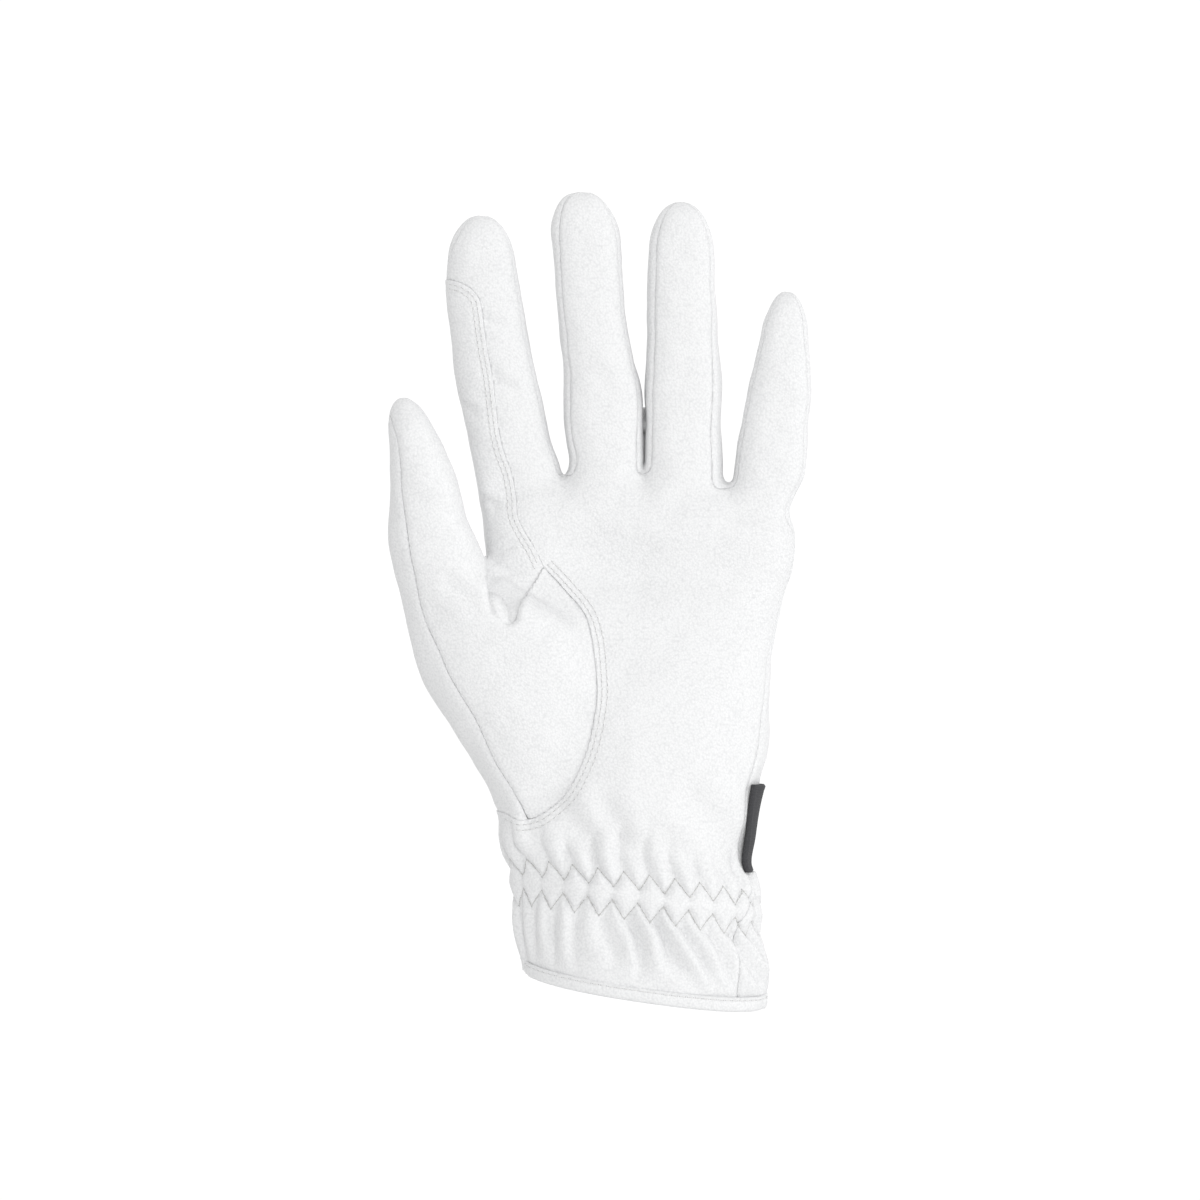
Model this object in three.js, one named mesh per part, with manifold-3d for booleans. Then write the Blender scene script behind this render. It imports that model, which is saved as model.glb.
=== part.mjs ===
// A left-hand riding glove in thin white leather, standing open as it does on a hand.
// Millimetres, +Z up: fingers up, palm towards -Y, thumb towards -X.
// The origin is the middle of the gathered wrist.
import * as THREE from "three";
import { mergeVertices } from "three/addons/utils/BufferGeometryUtils.js";
import Module from "manifold-3d";

// Leather and seams
const WALL = 1.2; // leather with its backing
const SEAM_GAP = 0.3; // clear space between two panels that are sewn together
const ROUNDNESS = 2.25; // 2 is an ellipse, more is squarer

// Hand
const PALM_WIDTH = 86;
const PALM_DEPTH = 30;
const PALM_HEIGHT = 118; // wrist middle to the finger forks
const FINGER_FLEX = 12; // how far the longest fingertip leans to the palm side
const FLEX_START = 95; // height where the fingers start to lean
const FORK_DROP = 13; // how far the side strips of the fingers run down past the forks

// Cuff
const WRIST_WIDTH = 69;
const WRIST_DEPTH = 38;
const CUFF_HEIGHT = 30; // wrist middle to the lower edge
const CUFF_TILT = -0.14; // the cuff drops towards the little finger
const HEM_BOW = 3; // the hem hangs lower at front and back than at its sides
const GATHER_COUNT = 24;
const GATHER_STEP = 3; // points in a gather
const GATHER_SWELL = 0.9; // how far a full gather stands out
const BINDING_HEIGHT = 4.3;
const BINDING_WALL = 0.7; // how far the binding stands proud of the leather, each side

// Thumb
const THUMB_HEIGHT = 120; // from the foot of the thumb seam to its tip
const THUMB_FOOT_X = -34;
const THUMB_FOOT_Z = 20.6;
const THUMB_TIP_X = -67.5;
const THUMB_WIDTH = 27;
const THUMB_DEPTH = 24;
const THUMB_FORWARD = 24; // how far the tip stands in front of the palm's middle

// Strap
const STRAP_WIDTH = 25.5;
const STRAP_THICKNESS = 1.6;
const STRAP_CLEARANCE = 0.35;
const STRAP_BOTTOM = 3.8;

const DENT_EDGE = 1.15; // the palm's dent ends where the reach to the side times this is 1
const ABOVE = 6; // how far a cut runs past what it cuts
const FAR = 120; // outside everything
const BLOCK_STEP = 9; // greatest height of one step of a cutting block
const SLIVER = 0.01; // least depth of a block
const NO_HOLLOW = 1.6; // sections thinner than this many walls have no hollow

// Cuff sections, from the hem up. at: share of CUFF_HEIGHT above the wrist middle. left, right: shares of
// WRIST_WIDTH. depth: half depth as a share of WRIST_DEPTH. gather: share of GATHER_SWELL.
// lean: how far the folds sit to the side, in gathers. tilt: share of CUFF_TILT. bow: share of HEM_BOW.
const CUFF_ROWS = [
  { at: -1.0, left: -0.455, right: 0.54, depth: 0.555, gather: 0.25, lean: 2.0, tilt: 1, bow: -1 },
  { at: -0.86, left: -0.465, right: 0.545, depth: 0.56, gather: 0.5, lean: 1.8, tilt: 1, bow: -0.9 },
  { at: -0.68, left: -0.48, right: 0.545, depth: 0.565, gather: 1.0, lean: 1.35, tilt: 1, bow: -0.5 },
  { at: -0.46, left: -0.49, right: 0.535, depth: 0.54, gather: 1.0, lean: 0.8, tilt: 1, bow: 0 },
  { at: -0.24, left: -0.49, right: 0.51, depth: 0.5, gather: 0.15, lean: 0.4, tilt: 1, bow: 0.4 },
  { at: -0.11, left: -0.5, right: 0.515, depth: 0.515, gather: 1.0, lean: 0, tilt: 1, bow: 0.4 },
  { at: 0.01, left: -0.5, right: 0.5, depth: 0.5, gather: 0.15, lean: 0, tilt: 1, bow: 0.4 },
  { at: 0.15, left: -0.53, right: 0.495, depth: 0.51, gather: 0.9, lean: 0.5, tilt: 1, bow: 0.2 },
  { at: 0.32, left: -0.56, right: 0.468, depth: 0.515, gather: 0.6, lean: 0.5, tilt: 0.8, bow: 0 },
  { at: 0.6, left: -0.56, right: 0.472, depth: 0.508, gather: 0.15, lean: 0.5, tilt: 0.4, bow: 0 },
];

// Palm sections, up to the forks. at: share of PALM_HEIGHT. left, right: shares of PALM_WIDTH.
// depth: half depth as a share of PALM_DEPTH. dent: how far the palm side is pressed in, same share.
const PALM_ROWS = [
  { at: 0.225, left: -0.455, right: 0.425, depth: 0.62, dent: 0 },
  { at: 0.33, left: -0.47, right: 0.442, depth: 0.58, dent: 0 },
  { at: 0.45, left: -0.483, right: 0.449, depth: 0.55, dent: 0.02 },
  { at: 0.57, left: -0.488, right: 0.46, depth: 0.535, dent: 0.05 },
  { at: 0.68, left: -0.494, right: 0.491, depth: 0.52, dent: 0.08 },
  { at: 0.78, left: -0.495, right: 0.519, depth: 0.505, dent: 0.1 },
  { at: 0.85, left: -0.503, right: 0.529, depth: 0.485, dent: 0.09 },
  { at: 0.925, left: -0.505, right: 0.515, depth: 0.43, dent: 0.03 },
  { at: 0.97, left: -0.42, right: 0.43, depth: 0.28, dent: 0 },
];

// Finger sections. at: share of the finger's length above the fork height. left, right: shares of its
// width from its axis. depth: half depth as a share of its depth.
const INDEX_ROWS = [
  { at: -0.3, left: -0.5, right: 0.7, depth: 0.6 },
  { at: -0.1, left: -0.59, right: 0.66, depth: 0.64 },
  { at: 0, left: -0.6, right: 0.545, depth: 0.56 },
  { at: 0.14, left: -0.6, right: 0.48, depth: 0.51 },
  { at: 0.25, left: -0.59, right: 0.435, depth: 0.49 },
  { at: 0.38, left: -0.615, right: 0.39, depth: 0.5 },
  { at: 0.62, left: -0.6, right: 0.37, depth: 0.48 },
  { at: 0.78, left: -0.56, right: 0.36, depth: 0.45 },
  { at: 0.9, left: -0.43, right: 0.33, depth: 0.4 },
  { at: 0.965, left: -0.31, right: 0.29, depth: 0.31 },
  { at: 1, left: -0.2, right: 0.12, depth: 0.1 },
];
const MIDDLE_ROWS = [
  { at: -0.3, left: -0.68, right: 0.7, depth: 0.6 },
  { at: -0.1, left: -0.6, right: 0.62, depth: 0.64 },
  { at: 0, left: -0.5, right: 0.49, depth: 0.56 },
  { at: 0.13, left: -0.47, right: 0.525, depth: 0.52 },
  { at: 0.25, left: -0.46, right: 0.54, depth: 0.5 },
  { at: 0.41, left: -0.44, right: 0.48, depth: 0.49 },
  { at: 0.64, left: -0.462, right: 0.41, depth: 0.48 },
  { at: 0.84, left: -0.47, right: 0.395, depth: 0.44 },
  { at: 0.93, left: -0.45, right: 0.335, depth: 0.38 },
  { at: 0.98, left: -0.33, right: 0.22, depth: 0.26 },
  { at: 1, left: -0.17, right: 0.08, depth: 0.09 },
];
const RING_ROWS = [
  { at: -0.3, left: -0.68, right: 0.7, depth: 0.6 },
  { at: -0.1, left: -0.62, right: 0.66, depth: 0.64 },
  { at: 0, left: -0.51, right: 0.56, depth: 0.56 },
  { at: 0.18, left: -0.485, right: 0.493, depth: 0.51 },
  { at: 0.4, left: -0.462, right: 0.505, depth: 0.5 },
  { at: 0.67, left: -0.431, right: 0.471, depth: 0.48 },
  { at: 0.82, left: -0.396, right: 0.436, depth: 0.45 },
  { at: 0.91, left: -0.373, right: 0.382, depth: 0.39 },
  { at: 0.965, left: -0.28, right: 0.265, depth: 0.3 },
  { at: 1, left: -0.11, right: 0.1, depth: 0.09 },
];
const LITTLE_ROWS = [
  { at: -0.35, left: -0.7, right: 0.36, depth: 0.6 },
  { at: -0.14, left: -0.68, right: 0.35, depth: 0.66 },
  { at: 0, left: -0.54, right: 0.5, depth: 0.58 },
  { at: 0.22, left: -0.457, right: 0.514, depth: 0.52 },
  { at: 0.45, left: -0.395, right: 0.481, depth: 0.5 },
  { at: 0.66, left: -0.319, right: 0.429, depth: 0.47 },
  { at: 0.83, left: -0.262, right: 0.348, depth: 0.42 },
  { at: 0.925, left: -0.233, right: 0.276, depth: 0.34 },
  { at: 0.972, left: -0.18, right: 0.17, depth: 0.24 },
  { at: 1, left: -0.08, right: 0.07, depth: 0.08 },
];

// Fingers. rootX: axis at fork height. tipX, tipZ: the fingertip. width, depth: the finger itself.
const FINGERS = {
  index: { rootX: -34, tipX: -44.7, tipZ: 193.4, width: 23, depth: 17, rows: INDEX_ROWS },
  middle: { rootX: -9, tipX: -14.8, tipZ: 200.5, width: 22.5, depth: 17.5, rows: MIDDLE_ROWS },
  ring: { rootX: 13.8, tipX: 12.5, tipZ: 197.2, width: 22.5, depth: 17, rows: RING_ROWS },
  little: { rootX: 38.1, tipX: 43.2, tipZ: 172, width: 21, depth: 14.5, rows: LITTLE_ROWS },
};

// Half width of the side strip between palm and back of a finger. at: share of the finger's length.
// half: share of the finger's depth.
const STRIP_ROWS = [
  { at: -0.4, half: 0.26 },
  { at: 0.1, half: 0.28 },
  { at: 0.6, half: 0.26 },
  { at: 0.85, half: 0.2 },
  { at: 0.96, half: 0.08 },
  { at: 1.04, half: 0 },
];

// Thumb sections. at: share of THUMB_HEIGHT. left, right: shares of THUMB_WIDTH from the axis.
// depth: half depth as a share of THUMB_DEPTH. forward: share of THUMB_FORWARD.
const THUMB_ROWS = [
  { at: 0, left: -0.15, right: 0.15, depth: 0.58, forward: 0 },
  { at: 0.053, left: -0.23, right: 0.437, depth: 0.667, forward: 0.06 },
  { at: 0.128, left: -0.34, right: 0.79, depth: 0.69, forward: 0.125 },
  { at: 0.212, left: -0.48, right: 1.08, depth: 0.69, forward: 0.21 },
  { at: 0.295, left: -0.607, right: 1.24, depth: 0.69, forward: 0.27 },
  { at: 0.378, left: -0.64, right: 1.28, depth: 0.665, forward: 0.33 },
  { at: 0.47, left: -0.607, right: 1.17, depth: 0.625, forward: 0.42 },
  { at: 0.54, left: -0.593, right: 0.7, depth: 0.56, forward: 0.54 },
  { at: 0.616, left: -0.567, right: 0.43, depth: 0.508, forward: 0.69 },
  { at: 0.66, left: -0.567, right: 0.381, depth: 0.483, forward: 0.75 },
  { at: 0.708, left: -0.504, right: 0.333, depth: 0.458, forward: 0.81 },
  { at: 0.817, left: -0.359, right: 0.337, depth: 0.425, forward: 0.92 },
  { at: 0.9, left: -0.25, right: 0.285, depth: 0.375, forward: 0.98 },
  { at: 0.957, left: -0.21, right: 0.23, depth: 0.3, forward: 1 },
  { at: 0.988, left: -0.13, right: 0.13, depth: 0.19, forward: 1 },
  { at: 1, left: -0.05, right: 0.05, depth: 0.06, forward: 1 },
];

// Seam round the foot of the thumb, on the palm, from the web down. across: share of PALM_WIDTH.
// up: share of PALM_HEIGHT.
const THUMB_SEAM = [
  { across: -0.312, up: 0.781 },
  { across: -0.233, up: 0.72 },
  { across: -0.169, up: 0.661 },
  { across: -0.135, up: 0.54 },
  { across: -0.142, up: 0.406 },
  { across: -0.191, up: 0.285 },
  { across: -0.28, up: 0.197 },
  { across: -0.398, up: 0.163 },
  { across: -0.5, up: 0.19 },
];
// Edge between thumb and forefinger, from above their gap down to the head of the thumb seam.
const WEB_EDGE = [
  { across: -0.72, up: 1.28 },
  { across: -0.59, up: 1.045 },
  { across: -0.54, up: 0.895 },
  { across: -0.505, up: 0.78 },
  { across: -0.49, up: 0.68 },
  { across: -0.44, up: 0.645 },
  { across: -0.396, up: 0.66 },
  { across: -0.364, up: 0.72 },
  { across: -0.312, up: 0.781 },
];
// Floor of the hollow between thumb and forefinger. up: share of PALM_HEIGHT. forward: share of half
// PALM_DEPTH in front of the hand's middle.
const WEB_FLOOR = [
  { up: 0.64, forward: 1.33 },
  { up: 0.78, forward: 0.57 },
  { up: 1, forward: 0 },
];
// Seam between the thumb and the back of the hand, from the web down.
const THUMB_BACK_SEAM = [
  { across: -0.62, up: 0.83 },
  { across: -0.49, up: 0.77 },
  { across: -0.45, up: 0.62 },
  { across: -0.43, up: 0.42 },
  { across: -0.425, up: 0.26 },
  { across: -0.5, up: 0.16 },
];
// Seam along the outer side of the thumb, from the tip down. at: share of THUMB_HEIGHT.
// across: share of THUMB_WIDTH from the thumb's axis.
const THUMB_SIDE_SEAM = [
  { at: 1.06, across: -0.55 },
  { at: 0.96, across: -0.2 },
  { at: 0.908, across: -0.16 },
  { at: 0.768, across: -0.29 },
  { at: 0.575, across: -0.39 },
  { at: 0.454, across: -0.41 },
  { at: 0.35, across: -0.337 },
  { at: 0.225, across: -0.18 },
  { at: 0.131, across: -0.1 },
  { at: -0.06, across: 0.12 },
];
// Edge of the patch on the forefinger. at: share of the finger's length. across: share of its width.
const PATCH_EDGE = [
  { at: 0.775, across: -0.8 },
  { at: 0.75, across: -0.45 },
  { at: 0.725, across: -0.27 },
  { at: 0.64, across: -0.16 },
  { at: 0.485, across: -0.16 },
  { at: 0.3, across: -0.14 },
  { at: 0.109, across: -0.15 },
  { at: 0.013, across: -0.08 },
  { at: -0.138, across: -0.08 },
  { at: -0.24, across: 0.04 },
];

// Seam down the outer edge of the hand. at: share of PALM_HEIGHT. forward: share of half PALM_DEPTH.
const SIDE_SEAM = [
  { at: -0.4, forward: 0.9 },
  { at: -0.1, forward: 0.85 },
  { at: 0.03, forward: 0.5 },
  { at: 0.25, forward: 0.6 },
  { at: 0.5, forward: 0.25 },
  { at: 0.85, forward: 0 },
  { at: 1, forward: 0.2 },
  { at: 1.5, forward: 0.3 },
];

const CUFF_SIDES = GATHER_COUNT * GATHER_STEP;
const PALM_SIDES = CUFF_SIDES / 2;
const LINING_SIDES = 26;
const FINGER_SIDES = 14;
const THUMB_SIDES = 20;
const FINGER_LINING_SIDES = 10;

const wasm = await Module();
wasm.setup();

// Value of a column at a place, in straight lines between the rows.
function along(rows, key, column, place) {
  if (place <= rows[0][key]) return rows[0][column];
  for (let i = 1; i < rows.length; i += 1) {
    const low = rows[i - 1];
    const high = rows[i];
    if (place <= high[key]) {
      const share = (place - low[key]) / (high[key] - low[key]);
      return low[column] + (high[column] - low[column]) * share;
    }
  }
  return rows[rows.length - 1][column];
}

// The hand's middle surface leans to the palm side above the knuckles.
function middleY(z) {
  const rise = Math.max(0, z - FLEX_START) / (FINGERS.middle.tipZ - FLEX_START);
  return -FINGER_FLEX * rise * rise;
}

function toSolid(geometry) {
  geometry.deleteAttribute("normal");
  geometry.deleteAttribute("uv");
  const merged = mergeVertices(geometry, 1e-4);
  return new wasm.Manifold(
    new wasm.Mesh({
      numProp: 3,
      vertProperties: new Float32Array(merged.attributes.position.array),
      triVerts: new Uint32Array(merged.index.array),
    }),
  );
}

// Solid through rings of points, from the lowest up, each turning anticlockwise seen from above.
// A ring may have a whole number of times the points of the next.
function loft(rings) {
  const points = rings.flat();
  const faces = [];
  let base = 0;
  for (let k = 0; k + 1 < rings.length; k += 1) {
    const low = rings[k].length;
    const high = rings[k + 1].length;
    const next = base + low;
    const step = low / high;
    for (let j = 0; j < high; j += 1) {
      const top = next + j;
      const topNext = next + ((j + 1) % high);
      for (let i = 0; i < step; i += 1) {
        const a = base + j * step + i;
        const b = base + ((j * step + i + 1) % low);
        faces.push(a, b, i * 2 < step ? top : topNext);
      }
      const split = base + ((j * step + Math.ceil(step / 2)) % low);
      faces.push(split, topNext, top);
    }
    base = next;
  }
  const last = points.length - rings[rings.length - 1].length;
  for (let i = 1; i + 1 < rings[0].length; i += 1) faces.push(0, i + 1, i);
  for (let i = last + 1; i + 1 < points.length; i += 1) faces.push(last, i, i + 1);
  const geometry = new THREE.BufferGeometry().setFromPoints(points);
  geometry.setIndex(faces);
  return toSolid(geometry);
}

// Outline of a rounded section of half width 1, as a point for an angle.
function rounded(turn) {
  const c = Math.cos(turn);
  const s = Math.sin(turn);
  return {
    reach: Math.sign(c) * Math.abs(c) ** (2 / ROUNDNESS),
    out: Math.sign(s) * Math.abs(s) ** (2 / ROUNDNESS),
  };
}

// Angles round the wrist, with the length of outline that lies before each.
const WRIST_STEPS = 720;
const wristLengths = [{ length: 0, turn: -Math.PI / 2 }];
for (let i = 1; i <= WRIST_STEPS; i += 1) {
  const last = wristLengths[i - 1];
  const turn = 2 * Math.PI * (i / WRIST_STEPS - 0.25);
  const [from, to] = [last.turn, turn].map(rounded);
  const across = ((to.reach - from.reach) * WRIST_WIDTH) / 2;
  const through = ((to.out - from.out) * WRIST_DEPTH) / 2;
  wristLengths.push({ length: last.length + Math.hypot(across, through), turn });
}
const wristGirth = wristLengths[WRIST_STEPS].length;

// Angle of a place round the cuff, in even shares of its girth from the middle of the palm side.
function evenTurn(share) {
  const whole = Math.floor(share);
  return 2 * Math.PI * whole + along(wristLengths, "length", "turn", (share - whole) * wristGirth);
}

// One ring of a rounded section. grow moves it outwards, gather and lean fold it.
function ring(section, sides, grow = 0) {
  const middle = (section.left + section.right) / 2;
  const halfWidth = (section.right - section.left) / 2 + grow;
  const halfDepth = section.depth + grow;
  const points = [];
  for (let i = 0; i < sides; i += 1) {
    const turn = section.even
      ? evenTurn((i + (0.5 + section.lean) * GATHER_STEP) / sides)
      : 2 * Math.PI * (i / sides - 0.25);
    const { reach, out } = rounded(turn);
    const swell = (section.gather ?? 0) * (i % GATHER_STEP === 0 ? 1 : -0.5);
    const x = middle + halfWidth * reach + swell * Math.cos(turn);
    let y = (section.y ?? 0) + halfDepth * out + swell * Math.sin(turn);
    if (out < 0) y -= (section.dent ?? 0) * Math.max(0, 1 - Math.abs(reach) * DENT_EDGE) * out;
    const z = section.z + (section.tilt ?? 0) * x + (section.bow ?? 0) * Math.abs(out);
    points.push(new THREE.Vector3(x, y, z));
  }
  return points;
}

const cuffSections = CUFF_ROWS.map((row) => ({
  z: row.at * CUFF_HEIGHT,
  left: row.left * WRIST_WIDTH,
  right: row.right * WRIST_WIDTH,
  depth: row.depth * WRIST_DEPTH,
  gather: row.gather * GATHER_SWELL,
  lean: row.lean,
  even: true,
  tilt: row.tilt * CUFF_TILT,
  bow: row.bow * HEM_BOW,
}));
const palmSections = PALM_ROWS.map((row) => ({
  z: row.at * PALM_HEIGHT,
  left: row.left * PALM_WIDTH,
  right: row.right * PALM_WIDTH,
  depth: row.depth * PALM_DEPTH,
  dent: row.dent * PALM_DEPTH,
}));

function fingerAxis(finger, z) {
  const slope = (finger.tipX - finger.rootX) / (finger.tipZ - PALM_HEIGHT);
  return finger.rootX + slope * (z - PALM_HEIGHT);
}

function fingerSections(finger) {
  return finger.rows.map((row) => {
    const z = PALM_HEIGHT + row.at * (finger.tipZ - PALM_HEIGHT);
    const axis = fingerAxis(finger, z);
    return {
      z,
      left: axis + row.left * finger.width,
      right: axis + row.right * finger.width,
      depth: row.depth * finger.depth,
      y: middleY(z),
    };
  });
}

function thumbAxis(z) {
  return THUMB_FOOT_X + ((THUMB_TIP_X - THUMB_FOOT_X) * (z - THUMB_FOOT_Z)) / THUMB_HEIGHT;
}

const thumbSections = THUMB_ROWS.map((row) => {
  const z = THUMB_FOOT_Z + row.at * THUMB_HEIGHT;
  return {
    z,
    left: thumbAxis(z) + row.left * THUMB_WIDTH,
    right: thumbAxis(z) + row.right * THUMB_WIDTH,
    depth: row.depth * THUMB_DEPTH,
    y: -row.forward * THUMB_FORWARD,
  };
});

// The inner face: each section a wall smaller, without gathers, and the last one a wall lower.
function inside(sections, sides) {
  const kept = sections.filter((s) => Math.min(s.depth, (s.right - s.left) / 2) > WALL * NO_HOLLOW);
  const last = kept.length - 1;
  const used = kept.filter((s, i) => i < 3 || i === last || i % 2 === 0);
  return loft(
    used.map((s) => {
      const smooth = { ...s, even: false, gather: 0, z: s === kept[last] ? s.z - WALL / 2 : s.z };
      return ring(smooth, sides, -WALL - (s.gather ?? 0) / 2);
    }),
  );
}

const hemRow = cuffSections[0];
const leatherEdge = { ...cuffSections[1], z: hemRow.z + BINDING_HEIGHT + SEAM_GAP, bow: hemRow.bow };
const leatherSections = [leatherEdge, ...cuffSections.slice(2)];
const mouthSection = { ...leatherEdge, z: hemRow.z - ABOVE };

// Block between two limits across and two limits front to back, each a function of height.
function block(from, to, left, right, front, back) {
  const steps = Math.ceil((to - from) / BLOCK_STEP);
  const rings = [];
  for (let i = 0; i <= steps; i += 1) {
    const z = from + ((to - from) * i) / steps;
    rings.push([
      new THREE.Vector3(left(z), front(z), z),
      new THREE.Vector3(right(z), front(z), z),
      new THREE.Vector3(right(z), back(z), z),
      new THREE.Vector3(left(z), back(z), z),
    ]);
  }
  return loft(rings);
}

function sideSeamY(z) {
  return (-along(SIDE_SEAM, "at", "forward", z / PALM_HEIGHT) * PALM_DEPTH) / 2 + middleY(z);
}

// Line halfway between two neighbouring fingers.
function border(one, other, z) {
  return (fingerAxis(one, z) + fingerAxis(other, z)) / 2 + (one.width - other.width) / 4;
}

function stripHalf(finger, z) {
  const at = (z - PALM_HEIGHT) / (finger.tipZ - PALM_HEIGHT);
  return along(STRIP_ROWS, "at", "half", at) * finger.depth;
}

const { index, middle, ring: ringFinger, little } = FINGERS;
const order = [index, middle, ringFinger, little];
const stripFoot = PALM_HEIGHT - FORK_DROP;
const topZ = Math.max(...order.map((finger) => finger.tipZ)) + ABOVE;

// Fields side by side over the whole hand. Each says where the palm side ends and the back begins.
const fields = [
  { from: -FAR, to: stripFoot, left: () => -FAR, right: () => 0, front: middleY, back: middleY },
  { from: -FAR, to: stripFoot, left: () => 0, right: () => FAR, front: sideSeamY, back: sideSeamY },
];
order.forEach((finger, i) => {
  const axis = (z) => fingerAxis(finger, z);
  const leftLimit = i ? (z) => border(order[i - 1], finger, z) : () => -FAR;
  const rightLimit = i < 3 ? (z) => border(finger, order[i + 1], z) : () => FAR;
  const low = (z) => middleY(z) - stripHalf(finger, z);
  const high = (z) => middleY(z) + stripHalf(finger, z);
  const from = stripFoot;
  const to = topZ;
  const leftIsStrip = i > 0;
  const rightIsStrip = i < 3;
  fields.push({
    from,
    to,
    left: leftLimit,
    right: axis,
    front: leftIsStrip ? low : middleY,
    back: leftIsStrip ? high : middleY,
  });
  fields.push({
    from,
    to,
    left: axis,
    right: rightLimit,
    front: rightIsStrip ? low : sideSeamY,
    back: rightIsStrip ? high : sideSeamY,
  });
});

function joined(solids) {
  return solids.reduce((all, one) => all.add(one));
}

function palmSide(clear) {
  return joined(
    fields.map((f) => block(f.from, f.to, f.left, f.right, () => -FAR, (z) => f.front(z) - clear)),
  );
}

function backSide(clear) {
  return joined(
    fields.map((f) => block(f.from, f.to, f.left, f.right, (z) => f.back(z) + clear, () => FAR)),
  );
}

// Strip between two fingers: the facing sides of both, joined at the fork.
function sideStrip(i) {
  const low = fields[2 + 2 * i + 1];
  const high = fields[2 + 2 * i + 2];
  const halves = [low, high].map((f) => {
    const front = (z) => Math.min(f.front(z) + SEAM_GAP / 2, middleY(z) - SLIVER);
    const back = (z) => Math.max(f.back(z) - SEAM_GAP / 2, middleY(z) + SLIVER);
    return block(f.from, f.to, f.left, f.right, front, back);
  });
  return joined(halves);
}

// Seam line on the hand, as seen from the palm, moved sideways by a clearance.
function seamLine(points, shift, pieces) {
  const curve = new THREE.SplineCurve(points);
  const line = [];
  for (let i = 0; i <= pieces; i += 1) {
    const point = curve.getPoint(i / pieces);
    const tangent = curve.getTangent(i / pieces);
    line.push(new THREE.Vector2(point.x + tangent.y * shift, point.y - tangent.x * shift));
  }
  return line;
}

// Wall from an outline seen from the palm, between two depths.
function prism(outline, front, back) {
  const geometry = new THREE.ExtrudeGeometry(new THREE.Shape(outline), {
    depth: back - front,
    bevelEnabled: false,
  });
  geometry.rotateX(Math.PI / 2);
  geometry.translate(0, back, 0);
  return toSolid(geometry);
}

const onPalm = (row) => new THREE.Vector2(row.across * PALM_WIDTH, row.up * PALM_HEIGHT);
function onThumb(row) {
  const z = THUMB_FOOT_Z + row.at * THUMB_HEIGHT;
  return new THREE.Vector2(thumbAxis(z) + row.across * THUMB_WIDTH, z);
}
function onIndex(row) {
  const z = PALM_HEIGHT + row.at * (index.tipZ - PALM_HEIGHT);
  return new THREE.Vector2(fingerAxis(index, z) + row.across * index.width, z);
}

const webHead = onPalm(WEB_EDGE[0]);
const seamFoot = onPalm(THUMB_SEAM[THUMB_SEAM.length - 1]);

// All that belongs to the thumb on the palm side. grow widens it, to leave a gap round it.
function thumbArea(grow) {
  const web = seamLine(WEB_EDGE.map(onPalm), -grow, 18);
  const round = seamLine(THUMB_SEAM.map(onPalm), -grow, 20);
  return [
    ...web.slice(0, -1),
    ...round.slice(1),
    new THREE.Vector2(-FAR, seamFoot.y - grow),
    new THREE.Vector2(-FAR, webHead.y + grow),
  ];
}

function thumbBackArea(grow) {
  const line = seamLine(THUMB_BACK_SEAM.map(onPalm), -grow, 14);
  const foot = line[line.length - 1];
  return [...line, new THREE.Vector2(-FAR, foot.y), new THREE.Vector2(-FAR, line[0].y)];
}

// What lies between the outer thumb seam and the palm, in front of the thumb's middle.
function thumbFrontBlock(grow) {
  const line = seamLine(THUMB_SIDE_SEAM.map(onThumb), grow, 16);
  const head = line[0];
  const foot = line[line.length - 1];
  const area = prism(
    [
      new THREE.Vector2(FAR, head.y + FAR),
      new THREE.Vector2(head.x, head.y + FAR),
      ...line,
      new THREE.Vector2(foot.x, foot.y - FAR),
      new THREE.Vector2(FAR, foot.y - FAR),
    ],
    -FAR,
    FAR,
  );
  const split = (z) => {
    const at = (z - THUMB_FOOT_Z) / THUMB_HEIGHT;
    return -along(THUMB_ROWS, "at", "forward", at) * THUMB_FORWARD + grow;
  };
  const reach = THUMB_FOOT_Z + THUMB_HEIGHT + ABOVE;
  return area.intersect(block(-CUFF_HEIGHT, reach, () => -FAR, () => FAR, () => -FAR, split));
}

function patchArea(grow) {
  const junction = onPalm(THUMB_SEAM[0]);
  const edge = seamLine([...PATCH_EDGE.map(onIndex), junction], -grow, 20);
  const web = seamLine(WEB_EDGE.map(onPalm), grow, 18).reverse();
  return [
    ...edge.slice(0, -1),
    ...web,
    new THREE.Vector2(-FAR, webHead.y),
    new THREE.Vector2(-FAR, edge[0].y),
  ];
}

// Hollow between thumb and forefinger, which the patch lines. grow leaves a wall round it.
function webHollow(grow) {
  const floor = (z) => (-along(WEB_FLOOR, "up", "forward", z / PALM_HEIGHT) * PALM_DEPTH) / 2 + grow;
  const depths = block(PALM_HEIGHT / 2, PALM_HEIGHT, () => -FAR, () => FAR, () => -FAR, floor);
  return prism(patchArea(grow), -FAR, FAR).intersect(depths);
}

// Hand without its seams: the whole outside less the whole inside.
const handOutside = loft([
  ...leatherSections.map((s) => ring(s, CUFF_SIDES)),
  ...palmSections.map((s) => ring(s, PALM_SIDES)),
]);
const handInside = inside([mouthSection, ...leatherSections, ...palmSections], LINING_SIDES);
const thumbOutside = loft(thumbSections.map((s) => ring(s, THUMB_SIDES)));
const thumbInside = inside(thumbSections, FINGER_LINING_SIDES);
let outside = handOutside.add(thumbOutside.subtract(webHollow(0)));
let hollow = handInside.add(thumbInside.subtract(webHollow(WALL)));
for (const finger of Object.values(FINGERS)) {
  const sections = fingerSections(finger);
  outside = outside.add(loft(sections.map((s) => ring(s, FINGER_SIDES))));
  hollow = hollow.add(inside(sections, FINGER_LINING_SIDES));
}
const shell = outside.subtract(hollow);

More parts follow.
